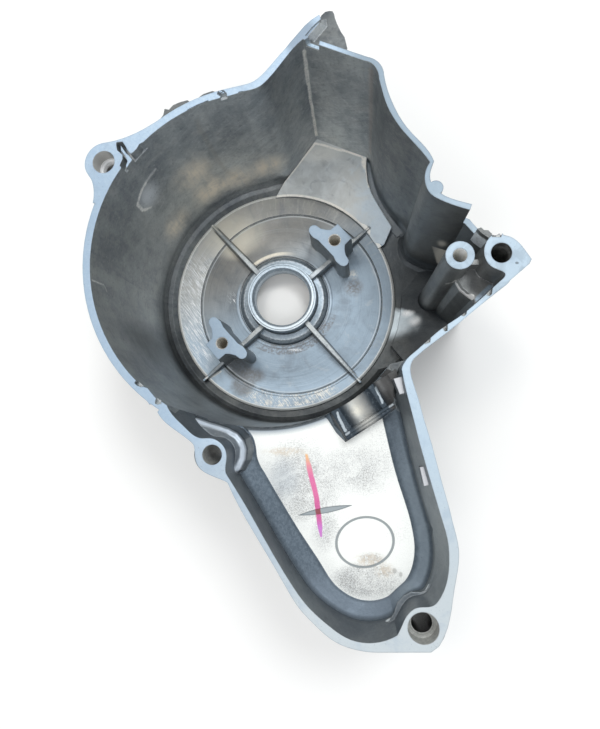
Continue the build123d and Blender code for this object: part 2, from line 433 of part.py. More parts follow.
# jagged remnant of the broken rim beside the right ear
remnant = [(78.0, 7.6), (79.0, 6.3), (80.6, 5.0), (82.6, 3.4), (83.6, 3.6), (84.2, 5.2), (82.6, 5.8), (81.6, 6.9), (80.2, 7.0), (79.2, 8.0)]
body = one(body.fuse(prism(remnant, HEIGHT - 13.5, HEIGHT - 1.4)))
body = one(body.cut(prism([(18.2, 78.0), (22.9, 76.6), (23.9, 80.9), (20.4, 82.2), (18.2, 80.6)], HEIGHT - 3.4, HEIGHT + 1)))
crack = [(-52.9, 45.2), (-53.0, 44.2), (-52.6, 42.1), (-50.4, 40.1), (-50.4, 38.5), (-51.4, 36.0), (-49.6, 34.0), (-41.0, 41.6), (-42.1, 44.9), (-44.0, 44.0), (-44.9, 42.4), (-46.2, 41.1), (-47.2, 40.4), (-48.4, 41.7), (-49.4, 43.6), (-50.6, 45.3)]
body = one(body.cut(prism(list(reversed(crack)), HEIGHT - 4.6, HEIGHT + 1)))
sliver = [(-51.5, 44.2), (-51.4, 42.3), (-49.7, 40.1), (-48.7, 37.9), (-49.3, 36.1), (-48.9, 35.3), (-48.0, 36.9), (-46.9, 38.4), (-48.1, 40.0), (-49.3, 41.0), (-50.5, 42.7)]
body = one(body.fuse(prism(sliver, HEIGHT - 5.6, HEIGHT - 0.7)))
for q, depth in (([(-43.4, -45.2), (-42.4, -46.2), (-40.6, -46.9), (-40.6, -45.4), (-42.2, -44.6)], 2.0),
                 ([(-35.6, -52.6), (-34.6, -53.0), (-33.0, -52.6), (-35.0, -49.6)], 1.6),
                 ([(80.0, -16.1), (81.1, -16.5), (81.8, -15.8), (82.2, -13.0), (80.2, -14.0)], 2.4),
                 ([(71.3, -22.9), (72.3, -23.3), (73.2, -22.5), (73.6, -20.0), (71.6, -21.0)], 2.6),
                 ([(64.9, -26.9), (65.9, -28.4), (66.8, -28.1), (66.9, -25.0), (65.0, -25.8)], 2.6),
                 ([(59.2, -32.7), (60.9, -32.0), (61.2, -29.8), (58.6, -31.6)], 1.4),
                 ([(-13.6, 60.0), (-12.9, 61.8), (-11.0, 62.0), (-10.6, 60.0)], 1.6),
                 ([(82.4, 4.0), (83.0, 6.6), (86.6, 6.6), (85.4, 3.9)], 2.4)):
    body = one(body.cut(prism(list(reversed(q)), HEIGHT - depth, HEIGHT + 1)))

os.makedirs("parts", exist_ok=True)
assert len(body.solids()) == 1 and body.is_valid
export_step(body, "parts/cover_casting.step")
print("volume", body.volume, "bbox", body.bounding_box())
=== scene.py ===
import bpy
import math
from mathutils import Matrix, Vector

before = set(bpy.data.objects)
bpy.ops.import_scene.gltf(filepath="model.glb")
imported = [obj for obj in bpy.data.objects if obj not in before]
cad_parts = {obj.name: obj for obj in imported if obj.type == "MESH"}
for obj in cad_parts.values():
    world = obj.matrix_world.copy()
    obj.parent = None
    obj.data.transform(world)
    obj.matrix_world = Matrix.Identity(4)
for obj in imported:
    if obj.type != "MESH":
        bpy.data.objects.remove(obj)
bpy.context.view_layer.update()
scene = bpy.context.scene

# ---------------------------------------------------------------- camera at the photograph's viewing angle
F = 540.0
PP = (300.0, 364.5)
NADIR = (357.0, 413.0)
RISE = 0.186047
FOOT = (0.0359, -0.0560)
TOP = 0.084
d = Vector(((NADIR[0] - PP[0]) / F, -(NADIR[1] - PP[1]) / F, -1.0)).normalized()
ez = -d
ex = Vector((1, 0, 0))
ex = (ex - ez * ex.dot(ez)).normalized()
ey = ez.cross(ex)
cam = bpy.data.objects.new("camera", bpy.data.cameras.new("camera"))
scene.collection.objects.link(cam)
m = Matrix((tuple(ex), tuple(ey), tuple(ez))).to_4x4()
m.translation = Vector((FOOT[0], FOOT[1], TOP + RISE))
cam.matrix_world = m
cam.data.sensor_fit = "AUTO"
cam.data.sensor_width = 36.0
cam.data.lens = F / 729.0 * 36.0
cam.data.clip_start = 0.005
scene.camera = cam
scene.view_settings.view_transform = "Standard"


# ---------------------------------------------------------------- node helpers
class Mat:
    def __init__(self, name):
        self.m = bpy.data.materials.new(name)
        self.m.use_nodes = True
        self.t = self.m.node_tree
        self.b = self.t.nodes["Principled BSDF"]
        g = self.node("ShaderNodeNewGeometry")
        self.pos = self.vm("SCALE", g.outputs["Position"], scale=1000.0)
        self.nrm = V(self, g.outputs["True Normal"])
        x = self.node("ShaderNodeSeparateXYZ")
        self.put(x.inputs[0], self.pos)
        self.x, self.y, self.z = (V(self, x.outputs[i]) for i in range(3))
        n = self.node("ShaderNodeSeparateXYZ")
        self.put(n.inputs[0], self.nrm)
        self.nx, self.ny, self.nz = (V(self, n.outputs[i]) for i in range(3))

    def node(self, kind, **kw):
        n = self.t.nodes.new(kind)
        for k, v in kw.items():
            setattr(n, k, v)
        return n

    def put(self, sock, v):
        if isinstance(v, V):
            v = v.s
        if isinstance(v, bpy.types.NodeSocket):
            self.t.links.new(v, sock)
        elif v is not None:
            sock.default_value = v

    def mt(self, op, a, b=None, c=None):
        n = self.node("ShaderNodeMath", operation=op)
        self.put(n.inputs[0], a)
        self.put(n.inputs[1], b)
        self.put(n.inputs[2], c)
        return V(self, n.outputs[0])

    def vm(self, op, a, b=None, scale=None):
        n = self.node("ShaderNodeVectorMath", operation=op)
        self.put(n.inputs[0], a)
        if b is not None:
            self.put(n.inputs[1], b)
        if scale is not None:
            self.put(n.inputs["Scale"], scale)
        return V(self, n.outputs["Value" if op in ("LENGTH", "DISTANCE", "DOT_PRODUCT") else "Vector"])

    def sm(self, x, a, b, lo=0.0, hi=1.0):
        n = self.node("ShaderNodeMapRange", interpolation_type="SMOOTHSTEP", clamp=True)
        if a > b:
            a, b, lo, hi = b, a, hi, lo
        for k, v in (("Value", x), ("From Min", a), ("From Max", b), ("To Min", lo), ("To Max", hi)):
            self.put(n.inputs[k], v)
        return V(self, n.outputs["Result"])

    def band(self, x, a, b, soft):
        return self.sm(x, a - soft, a) * self.sm(x, b + soft, b)

    def noise(self, scale, detail=3.0, rough=0.55, vec=None, dist=0.0):
        n = self.node("ShaderNodeTexNoise", noise_dimensions="3D")
        self.put(n.inputs["Vector"], vec if vec is not None else self.pos)
        self.put(n.inputs["Scale"], scale)
        self.put(n.inputs["Detail"], detail)
        self.put(n.inputs["Roughness"], rough)
        self.put(n.inputs["Distortion"], dist)
        return V(self, n.outputs["Fac"])

    def xyz(self, x, y, z):
        n = self.node("ShaderNodeCombineXYZ")
        for i, v in enumerate((x, y, z)):
            self.put(n.inputs[i], v)
        return V(self, n.outputs[0])

    def mix(self, f, a, b, blend="MIX"):
        n = self.node("ShaderNodeMix", data_type="RGBA", blend_type=blend, clamp_factor=True)
        self.put(n.inputs[0], f)
        self.put(n.inputs[6], a)
        self.put(n.inputs[7], b)
        return V(self, n.outputs[2])

    def fmix(self, f, a, b):
        n = self.node("ShaderNodeMix", data_type="FLOAT", clamp_factor=True)
        self.put(n.inputs[0], f)
        self.put(n.inputs[2], a)
        self.put(n.inputs[3], b)
        return V(self, n.outputs[0])


class V:
    def __init__(self, m, s):
        self.m, self.s = m, s

    def __add__(self, o):
        return self.m.mt("ADD", self, o)
    __radd__ = __add__

    def __mul__(self, o):
        return self.m.mt("MULTIPLY", self, o)
    __rmul__ = __mul__

    def __sub__(self, o):
        return self.m.mt("SUBTRACT", self, o)

    def __rsub__(self, o):
        return self.m.mt("SUBTRACT", o, self)

    def __truediv__(self, o):
        return self.m.mt("DIVIDE", self, o)

    def __pow__(self, o):
        return self.m.mt("POWER", self, o)

    def max(self, o):
        return self.m.mt("MAXIMUM", self, o)

    def min(self, o):
        return self.m.mt("MINIMUM", self, o)

    def abs(self):
        return self.m.mt("ABSOLUTE", self)

    def sqrt(self):
        return self.m.mt("SQRT", self)

    def inv(self):
        return 1.0 - self


def hexc(h):
    h = h.lstrip("#")
    out = []
    for i in (0, 2, 4):
        c = int(h[i:i + 2], 16) / 255.0
        out.append(c / 12.92 if c <= 0.04045 else ((c + 0.055) / 1.055) ** 2.4)
    return (*out, 1.0)


# ---------------------------------------------------------------- casting
NOISES = {
    "big": (0.030, 3.0, 0.55, 0.0, None),
    "mid": (0.11, 4.0, 0.6, 0.6, None),
    "mid2": (0.16, 4.0, 0.6, 0.8, (57.0, 19.0, 8.0)),
    "fine": (0.9, 4.0, 0.65, 0.0, None),
    "grain": (3.2, 3.0, 0.7, 0.0, None),
    "speck": (2.1, 2.0, 0.6, 0.0, None),
    "relief": (0.10, 2.0, 0.6, 0.0, None),
    "pits": (1.0, 2.0, 0.7, 0.0, None),
    "patchy": (0.045, 3.0, 0.6, 0.0, (31.0, 7.0, 0.0)),
    "dots": (1.75, 2.0, 0.75, 0.0, None),
}


def n(name):
    if name not in M.cache:
        scale, detail, rough, dist, off = NOISES[name]
        M.cache[name] = M.noise(scale, detail, rough, vec=M.vm("ADD", M.pos, off) if off else None, dist=dist)
    return M.cache[name]


RIBS = ((41.0, -1.4), (133.0, 0.0), (221.3, 3.6), (311.6, 0.85))


def start(name):
    """New material, and its coordinates in millimetres."""
    global M, X, Y, Z, R, ang, WP, bev, edge
    M = Mat(name)
    M.cache = {}
    X, Y, Z = M.x, M.y, M.z
    R = (X * X + Y * Y).sqrt()
    ang = M.mt("ARCTAN2", Y, X)
    wob = M.xyz((n("mid") - 0.5) * 1.6 + (n("fine") - 0.5) * 0.9, (n("mid") - 0.5) * 1.2 + (n("grain") - 0.5) * 0.35, (n("fine") - 0.5) * 0.8)
    WP = M.vm("ADD", M.pos, wob)
    bev = M.node("ShaderNodeBevel", samples=4)
    bev.inputs["Radius"].default_value = 0.00055
    edge = M.sm(M.vm("DOT_PRODUCT", V(M, bev.outputs[0]), M.nrm), 0.992, 0.93)
    return M


def seg(a, b, r, soft=0.25, p=None):
    """Mask of the points nearer than r to the line from a to b."""
    a, b = Vector(a), Vector(b)
    ba = b - a
    pa = M.vm("SUBTRACT", p or WP, tuple(a))
    t = (M.vm("DOT_PRODUCT", pa, tuple(ba)) * (1.0 / ba.length_squared)).max(0.0).min(1.0)
    q = M.vm("SCALE", tuple(ba), scale=t)
    return M.sm(M.vm("LENGTH", M.vm("SUBTRACT", pa, q)), r + soft, r)


def line(pts, r, soft=0.25, p=None):
    out = None
    for a, b in zip(pts, pts[1:]):
        k = seg(a, b, r, soft, p)
        out = k if out is None else out.max(k)
    return out


def blob(c, rad, inner=0.35, p=None):
    """Soft ellipsoid: 1 inside, 0 outside its radii."""
    q = M.vm("DIVIDE", M.vm("SUBTRACT", p or WP, c), rad)
    return M.sm(M.vm("LENGTH", q), 1.0, inner)


def local(cx, cy, dx, dy):
    """Coordinates along and across a direction, from a centre."""
    u = (X - cx) * dx + (Y - cy) * dy
    v = (X - cx) * -dy + (Y - cy) * dx
    return u, v


def scratches():
    sv = M.node("ShaderNodeVectorRotate", rotation_type="Z_AXIS")
    M.put(sv.inputs["Vector"], M.pos)
    sv.inputs["Angle"].default_value = math.radians(-38.0)
    return M.noise(1.0, 5.0, 0.75, vec=M.vm("MULTIPLY", V(M, sv.outputs[0]), (2.8, 0.16, 0.2)))


def radial():
    return M.noise(1.0, 4.0, 0.75, vec=M.xyz(ang * 34.0, R * 0.10, Z))


def finish(col, metallic, rough, height, strength=0.8):
    M.put(M.b.inputs["Base Color"], col)
    M.put(M.b.inputs["Metallic"], metallic)
    rough = n("fine") * 0.18 + n("mid") * 0.14 + (rough - 0.16)
    M.put(M.b.inputs["Roughness"], rough)
    bp = M.node("ShaderNodeBump")
    bp.inputs["Strength"].default_value = strength
    bp.inputs["Distance"].default_value = 0.001
    M.put(bp.inputs["Height"], height)
    M.put(bp.inputs["Normal"], V(M, bev.outputs[0]))
    M.put(M.b.inputs["Normal"], V(M, bp.outputs[0]))
    return M.m


def wall_base(cool=0.0):
    """Cast skin: slow warm and cool blotches, faint upright streaks, fine grain."""
    streak = M.noise(1.0, 3.0, 0.6, vec=M.xyz(ang * 7.0, Z * 0.012, R * 0.02))
    wall_v = n("big") * 0.45 + streak * 0.30 + n("mid2") * 0.25
    w_ = M.mix(M.sm(wall_v, 0.36, 0.64), hexc("#74797e"), hexc("#a2a6a6"))
    w_ = M.mix(M.sm(n("mid"), 0.45, 0.72) * 0.40, w_, hexc("#acadaa"))
    w_ = M.mix(M.sm(n("fine"), 0.55, 0.72) * 0.30, w_, hexc("#c2c5c5"))
    w_ = M.mix(M.sm(n("fine"), 0.47, 0.30) * 0.35, w_, hexc("#50555a"))
    if cool:
        w_ = M.mix(cool, w_, hexc("#6f7c88"))
    return w_


# multiplies a colour by a factor of painted light and shade
def shade(col, t):
    return M.mix(1.0, col, M.xyz(t, t, t), "MULTIPLY")


def wear(col, amount=0.45, tint="#cfd2d1"):
    return M.mix(edge * M.sm(n("fine"), 0.3, 0.6) * amount, col, hexc(tint))


# ---- cup walls, posts, ribs and the outer skin
start("cast_wall")
wall = wall_base()
drag = M.node("ShaderNodeVectorRotate", rotation_type="Y_AXIS")
M.put(drag.inputs["Vector"], M.pos)
drag.inputs["Angle"].default_value = math.radians(35.0)
drag = M.noise(1.0, 4.0, 0.7, vec=M.vm("MULTIPLY", V(M, drag.outputs[0]), (0.05, 0.30, 0.55)))
dragged = M.sm(X, -50.0, -10.0, 0.35, 1.0)
wall = M.mix(M.sm(drag, 0.52, 0.72) * dragged * 0.30, wall, hexc("#b9bcbc"))
wall = M.mix(M.sm(drag, 0.46, 0.30) * dragged * 0.30, wall, hexc("#5a5f64"))
# painted shade: walls facing +Y darker and walls facing -Y lighter
tone_and_painted_shade = (1.0 - M.ny * 0.25) * M.fmix(M.sm(X, 30.0, 50.0), 1.33, 1.25)
# painted shade where the floor of the cup turns up into its lower and right walls, and in the trench round the disc
low = M.sm(R, 54.2, 55.0) * M.sm(Z, 26.0, 9.0) * M.sm(X * 0.35 - Y * 0.94, -30.0, 14.0)
far = M.sm(X * 0.90 + Y * 0.44, 58.0, 63.0)
floor_part = M.sm(R, 54.2, 54.6) * M.sm(Z, 15.0, 13.0) * M.sm(M.nz, 0.15, 0.5)
foot = M.sm(R, 54.2, 54.6) * M.sm(Z, 13.0, 7.6) * M.sm(M.nz, 0.95, 0.80) * (1.0 - far)
tone_and_painted_shade = tone_and_painted_shade * M.fmix(low, 1.0, 0.50) * M.fmix(floor_part, 1.0, 0.55) * M.fmix(foot * M.sm(Y, 16.0, -10.0, 0.72, 1.0), 1.0, 0.48) * M.fmix(far * floor_part, 1.0, 1.05)
# painted light: the steep foot of the wall round the trench, and the gutter beside the plateau, are a little lighter
# than the corner beside them
lit_toe = M.sm(R, 59.4, 60.0) * M.sm(Z, 10.5, 8.0) * M.sm(M.nz, 0.75, 0.55) * M.sm(X, 56.0, 50.0) * M.sm(Y, 14.0, -10.0, 0.7, 1.0)
tone_and_painted_shade = tone_and_painted_shade * M.fmix(lit_toe, 1.0, 1.5) * M.fmix(M.sm(X, 40.0, 43.0) * M.sm(Y, 28.0, 34.0) * M.sm(Z, 12.0, 10.5), 1.0, 1.35)
# painted shade: ribs and the flanks of the seats are darker than the disc round them
tone_and_painted_shade = tone_and_painted_shade * M.fmix(M.sm(R, 57.5, 56.5) * M.sm(Z, 25.8, 25.2) * M.sm(Z, 5.0, 5.6), 1.0, 0.62)
# painted light: the tops of the ribs lighter
rib_top_highlight = None
for a, off in RIBS:
    ca, sa = math.cos(math.radians(a)), math.sin(math.radians(a))
    k = M.sm((X * -sa + Y * ca - off).abs(), 1.5, 1.1) * M.sm(X * ca + Y * sa, 17.0, 18.5) * M.sm(R, 57.0, 56.5) * M.sm(Z, 12.4, 12.0) * M.sm(Z, 6.4, 7.0)
    rib_top_highlight = k if rib_top_highlight is None else rib_top_highlight.max(k)
tone_and_painted_shade = tone_and_painted_shade * M.fmix(rib_top_highlight, 1.0, 1.75)
tone_and_painted_shade = tone_and_painted_shade * M.fmix(M.sm(X, 56.0, 58.5) * M.sm(Y, 12.0, 14.0) * M.sm(Z, 15.0, 11.0) * M.sm(M.nz, 0.8, 0.5), 1.0, 1.9)
# painted light on a steep face at the right edge of the disc
tone_and_painted_shade = tone_and_painted_shade * M.fmix(M.sm(X, 49.0, 51.0) * M.sm(Y, -20.0, -23.0) * M.sm(Z, 8.5, 8.0) * M.sm(M.nz, 0.4, 0.2), 1.0, 3.2)
# painted shade on the ledge left by the corner cut
tone_and_painted_shade = tone_and_painted_shade * M.fmix(M.band(Z, 66.8, 67.6, 0.2) * M.sm(M.nz, 0.7, 0.9) * M.sm(X, 44.0, 45.0), 1.0, 0.40)
tone_and_painted_shade = tone_and_painted_shade * M.fmix(M.sm(Z, 82.8, 82.6) * M.sm(Z, 69.0, 70.0) * M.sm(X, 77.0, 77.6) * M.sm(X, 84.6, 84.2) * M.sm(Y, 3.0, 3.6) * M.sm(Y, 8.6, 8.2) * M.sm(M.nz, 0.5, 0.8), 1.0, 0.45)
torn = M.sm(Z, 80.4, 79.2) * M.sm(Z, 70.0, 71.0) * M.sm(X, 77.0, 77.6) * M.sm(X, 84.6, 84.2) * M.sm(Y, 3.0, 3.6) * M.sm(Y, 9.0, 8.4) * M.sm(M.nx, -0.3, -0.6)
tone_and_painted_shade = tone_and_painted_shade * M.fmix(M.sm(X, 56.0, 60.0) * M.sm(Y, 8.0, 14.0) * M.sm(R, 60.0, 62.0), 1.0, 0.92) * M.fmix(M.sm(X, 63.0, 66.0) * M.sm(Y, 9.0, 7.0) * M.sm(Z, 15.0, 18.0), 1.0, 1.25)
tone_and_painted_shade = tone_and_painted_shade * M.fmix(M.sm(X, -38.0, -50.0) * M.sm(Y, 10.0, -20.0), 1.0, 0.70)
tone_and_painted_shade = tone_and_painted_shade * M.fmix(blob((-55.0, -27.0, 40.0), (13.0, 19.0, 36.0), 0.15), 1.0, 0.42)
# painted shade in the lower right corner of the cup
tone_and_painted_shade = tone_and_painted_shade * M.fmix(blob((43.0, -42.0, 9.0), (16.0, 14.0, 12.0), 0.2), 1.0, 0.50)
tone_and_painted_shade = tone_and_painted_shade * M.fmix(M.sm(X + Y * 0.6, 38.0, 46.0) * M.sm(R, 61.0, 66.0), 1.0, 0.80)
# painted light on the left-facing sides of the pillar in the right pocket
tone_and_painted_shade = tone_and_painted_shade * M.fmix(M.band(X, 57.5, 66.5, 1.5) * M.sm(M.nx, -0.6, -0.9) * M.sm(Y, 14.0, 17.0), 1.0, 1.12)
tone_and_painted_shade = tone_and_painted_shade * M.fmix(M.sm(X, 61.0, 63.0) * M.sm(Y, 10.0, 12.0) * M.sm(M.ny, -0.7, -0.85), 1.0, 1.0)
tone_and_painted_shade = tone_and_painted_shade * M.fmix(M.sm(X, -52.0, -60.0) * M.sm(Y, -12.0, 6.0), 1.0, 0.82)
# the thin outer fin and the flash outside are duller, and the top of the corner shelf too
tone_and_painted_shade = tone_and_painted_shade * M.fmix(M.band(Z, 80.2, 81.0, 0.2) * M.sm(M.nz, 0.7, 0.9), 1.0, 0.34)
tone_and_painted_shade = tone_and_painted_shade * M.fmix(M.band(Z, 68.2, 69.2, 0.2) * M.sm(M.nz, 0.7, 0.9) * M.sm(X, 70.0, 71.0), 1.0, 0.60)
# lighter at the far end of the upper pocket, darker to the right
tone_and_painted_shade = tone_and_painted_shade * M.fmix(M.sm(R, 62.0, 78.0) * M.sm(Y, 50.0, 68.0), 1.0, 1.30) * M.sm(X, 44.0, 60.0, 1.0, 0.84)
wall = M.mix(M.sm(X + Y * 0.3, 52.0, 58.0) * M.sm(Z, 15.0, 13.0) * 0.6, wall, hexc("#7b838a"))
wall = M.mix(M.sm(X, 58.0, 62.0) * M.sm(Y, 22.0, 18.0) * M.sm(Z, 15.0, 17.0) * 0.45, wall, hexc("#8c8a86"))
wall = shade(wall, tone_and_painted_shade)
wall = M.mix(torn * M.sm(n("fine"), 0.30, 0.55, 0.6, 1.0), wall, hexc("#f2f8fc"))
# painted warm reflection (sheen) low on the upper left wall
warm_reflection = None
for c, r in (((-49.5, 34.5, 24.0), 12.0), ((-35.5, 49.3, 45.0), 13.5), ((-33.0, 50.8, 25.0), 14.0), ((-19.0, 57.4, 22.0), 13.5), ((-4.5, 61.3, 25.0), 12.5)):
    k = blob(c, (r, r, r * 1.1), 0.0)
    warm_reflection = k if warm_reflection is None else warm_reflection + k
bands = M.noise(1.0, 3.0, 0.6, vec=M.xyz(ang * 9.0, Z * 0.035, R * 0.02))
inward = M.sm(M.nx * X + M.ny * Y, -4.0, -14.0)
warm_reflection = warm_reflection.min(1.0) * inward * M.sm(M.nz, 0.5, 0.2) * M.sm(bands, 0.36, 0.60, 0.42, 1.0) * M.sm(n("mid2"), 0.30, 0.60, 0.65, 1.0)
wall = M.mix((warm_reflection * 1.2).min(1.0), wall, hexc("#efe5d3"))
# faint upright seam with specks
seam = line([(-24.6, 56.2, 76.0), (-24.8, 55.9, 53.0), (-23.5, 56.4, 34.0), (-20.5, 57.6, 21.0)], 0.3, 1.5)
wall = M.mix(seam * inward * M.sm(n("fine"), 0.35, 0.6, 0.3, 1.0) * 0.30, wall, hexc("#aaa59b"))
wall = M.mix(M.sm(n("speck"), 0.70, 0.76) * inward * M.sm(Z, 12.0, 20.0) * M.sm(Y, 10.0, 40.0) * 0.8, wall, hexc("#e9e6dc"))
# rubbed patch and the scratch along it
dust = blob((-50.0, 34.8, 58.0), (7.6, 8.6, 10.5), 0.10) * inward * M.sm(n("fine") * 0.6 + n("mid") * 0.4, 0.32, 0.50)
wall = M.mix(dust * 0.95, wall, hexc("#d4d9dc"))
scratch = line([(-44.6, 42.1, 66.4), (-47.7, 38.4, 65.7), (-50.6, 34.8, 64.6), (-51.8, 32.7, 63.6), (-53.5, 29.8, 61.5), (-53.5, 29.7, 56.1), (-51.4, 32.3, 51.4)], 0.34, 0.75)
scratch = scratch.max(seg((-52.7, 29.9, 38.3), (-50.5, 33.7, 36.9), 0.12, 0.22)).max(line([(-61.3, -6.9, 82.7), (-61.2, -6.8, 77.4), (-61.2, -6.6, 73.4), (-60.9, -8.9, 71.3)], 0.14, 0.35) * 0.7)
scratch = scratch * inward
scratch = scratch.max(line([(70.2, -6.9, 62.5), (72.1, -7.1, 64.7), (72.9, -6.9, 68.5)], 0.18, 0.35))
wall = M.mix(scratch * M.sm(n("grain"), 0.35, 0.6, 0.35, 1.0) * M.sm(n("mid"), 0.38, 0.56, 0.35, 1.0), wall, hexc("#f2f1ea"))
# painted highlights down the corners of the upper pocket
ridge = line([(17.4, 80.4, 78.0), (16.9, 80.0, 50.0), (17.4, 79.5, 17.0)], 0.45, 0.60)
wall = M.mix(ridge * M.sm(n("fine"), 0.30, 0.60, 0.45, 1.0), wall, hexc("#f2f0e8"))
corner_highlight2 = seg((42.2, 69.6, 80.0), (43.3, 67.0, 22.0), 0.3, 1.6)
wall = M.mix(corner_highlight2 * 0.28, wall, hexc("#b59f92"))
# painted highlight: small bright triangle beside the post
slant = X - (n("fine") - 0.5) * 0.8 - 68.4 - (38.0 - Z) * 0.249
tri_highlight = M.sm(Z, 38.8, 38.0) * M.sm(slant, -0.2, 0.9) * M.sm(Z, 17.0, 20.0) * M.sm(Y, 12.0, 12.6) * M.sm(X, 76.0, 75.0)
tri_highlight = (tri_highlight * M.sm(X, 68.0, 73.5, 0.30, 0.95)).max(blob((72.0, 14.5, 45.0), (3.4, 2.2, 5.5), 0.1) * 0.75)
wall = M.mix(tri_highlight, wall, hexc("#f6f0e2"))
# painted highlight along the curved edge of the shelf, and a painted blue-grey reflection in the strip below it
hook_highlight = line([(73.3, -8.2, 66.6), (75.0, -11.0, 66.9), (77.0, -13.0, 67.2), (78.2, -13.4, 68.2)], 0.95, 0.35)
wall = M.mix(hook_highlight, wall, hexc("#efedea"))
wall = M.mix(seg((80.8, -14.4, 68.8), (85.0, -10.4, 68.8), 0.9, 0.8) * 0.6, wall, hexc("#8fa3b5"))
wall = M.mix(seg((18.9, 81.3, 80.6), (23.2, 79.3, 80.6), 0.55, 0.12, M.pos) * M.sm(M.nz, 0.7, 0.9), wall, hexc("#a3b4c2"))
# painted pale reflection at the foot of the wall right of the disc
px, py = X + (n("mid") - 0.5) * 5.0, Y + (n("mid2") - 0.5) * 5.0
pale = M.sm(px * 0.40 + py * 0.92, 19.5, 16.0) * M.sm(px * 0.55 - py * 0.84, 53.0, 42.0) * M.sm(px, 69.5, 62.0) * M.sm(R, 54.6, 55.6) * M.sm(Z, 14.0, 11.0) * M.sm(X, 50.0, 53.0) * M.sm(Y, -22.5, -15.5)
pale = pale * M.sm(px, 70.0, 56.5, 0.30, 1.0)
wall = M.mix(pale * 0.95, wall, hexc("#dde7ec"))
# painted white highlights at the top of the pale reflection
wall = M.mix(blob((60.6, -8.0, 7.5), (4.6, 2.6, 5.0), 0.0).max(blob((63.8, -12.0, 9.5), (4.2, 3.6, 5.0), 0.0) * 0.7) * M.sm(n("fine"), 0.25, 0.5, 0.5, 1.0), wall, hexc("#ffffff"))
wall = wear(wall, M.sm(Z, 26.0, 60.0) * 0.45)
# less metallic under the painted highlights and reflections, and where scratched, dusted or torn
matte_wear_and_highlights = tri_highlight.max(warm_reflection * 0.92).max(ridge * 0.5).max(scratch * 0.9).max(dust * 0.75).max(hook_highlight).max(lit_toe * 0.5).max(pale * 0.45).max(torn)
MAT_WALL = finish(wall, 0.82 - matte_wear_and_highlights * 0.78, 0.45, n("pits") * 0.11 + n("relief") * 0.40)

# ---- tray walls and ledges, and the small faces round the saddle
start("tray_wall")
# painted shade: tray walls facing +Y darker
tw = shade(wall_base(0.35), (1.0 - M.ny * 0.20) * 0.84)
# painted highlight along the rounded edge of the ledge
ledge_highlight = line([(-23.0, -58.6, 74.0), (-16.4, -60.6, 74.0), (-11.5, -62.1, 74.0), (-7.6, -64.8, 74.0), (-5.4, -68.4, 74.0), (-5.7, -72.4, 74.0), (-7.6, -76.0, 74.2)], 0.7, 0.9, M.pos)
tw = M.mix(ledge_highlight * M.sm(M.nz, 0.35, 0.6) * 0.80, tw, hexc("#d5dee8"))
# painted highlight along the top of the lower right ledge
ledge_highlight2 = line([(45.9, -128.2, 73.2), (48.4, -123.4, 73.2), (51.9, -118.9, 73.4), (56.3, -117.4, 73.6), (59.8, -115.6, 73.8)], 0.55, 0.5, M.pos)
tw = M.mix(ledge_highlight2 * 0.85, tw, hexc("#eef2f4"))
# painted shade at the foot of the tray walls
tw = M.mix(M.band(Z, 66.0, 72.6, 0.5) * M.sm(M.nz, 0.1, 0.3) * M.sm(Z, 69.6, 71.4) * 0.5, tw, hexc("#40484f"))
tw = M.mix(M.sm(Y, -104.0, -110.0) * M.sm(Z, 72.0, 71.0) * M.sm(X, 44.0, 46.0) * 0.7, tw, hexc("#3a4247"))
tw = wear(tw, 0.3)
MAT_TRAYW = finish(tw, 0.80, 0.45, n("pits") * 0.10 + n("relief") * 0.30)

# ---- inside the holes
start("hole_wall")
hw = M.mix(M.sm(n("fine"), 0.35, 0.65), hexc("#a9aaa6"), hexc("#c9c9c4"))
pitch = (Z * 1.25 + ang * 0.159).abs()
turns = M.sm(pitch - M.mt("FLOOR", pitch), 0.30, 0.55, 0.0, 1.0)
hw = M.mix(turns * 0.30, hw, hexc("#7b7c79"))
small = M.sm(((X.abs() - 26.3) * (X.abs() - 26.3) + (Y.abs() - 23.7) * (Y.abs() - 23.7)).sqrt(), 3.2, 3.0) * M.sm(Z, 26.5, 26.0)
hw = M.mix(small, hw, M.mix(M.sm(n("grain"), 0.42, 0.58), hexc("#9f9b92"), hexc("#fffaf0")))


def hole(x, y, r, z0, z1):
    q = ((X - x) * (X - x) + (Y - y) * (Y - y)).sqrt()
    return M.sm(q, r + 0.35, r + 0.1) * M.band(Z, z0, z1, 0.3)


hw = M.mix(hole(-57.7, 37.7, 4.6, 60.0, 83.9) * 0.9, hw, hexc("#c4c3bf"))
hw = M.mix(hole(71.7, -1.9, 2.7, 50.0, 83.9) * 0.95, hw, hexc("#fbfaf5"))
# painted shade on the left side of the ear hole, and on its right side low down
hw = M.mix(hole(-57.7, 37.7, 4.6, 60.0, 83.9) * M.sm(X - Y * 0.3, -70.6, -67.6) * 0.75, hw, hexc("#6a6a67"))
hw = M.mix(hole(-57.7, 37.7, 4.6, 60.0, 75.2) * M.sm(X + Y * 0.4, -42.0, -44.5) * 0.6, hw, hexc("#5c5c5a"))
# painted highlight: bright ring inside the ear hole
hw = M.mix(hole(-57.7, 37.7, 4.6, 75.4, 77.8), hw, hexc("#ffffff"))
# painted shade on one side of the post hole, and a painted highlight streak down it
hw = M.mix(hole(71.7, -1.9, 2.7, 50.0, 83.9) * M.sm(Y - X * 0.35, -26.0, -28.4) * 0.6, hw, hexc("#a3a19e"))
hw = M.mix(seg((72.9, 0.4, 83.0), (74.0, -0.9, 68.0), 0.7, 0.6), hw, hexc("#ffffff"))
# painted shade in the right hole, lighter in noisy swirls
right = hole(85.4, -1.6, 3.8, 40.0, 83.9)
hw = M.mix(right * M.sm(n("mid2"), 0.38, 0.60, 0.95, 0.55), hw, hexc("#3c3c3c"))
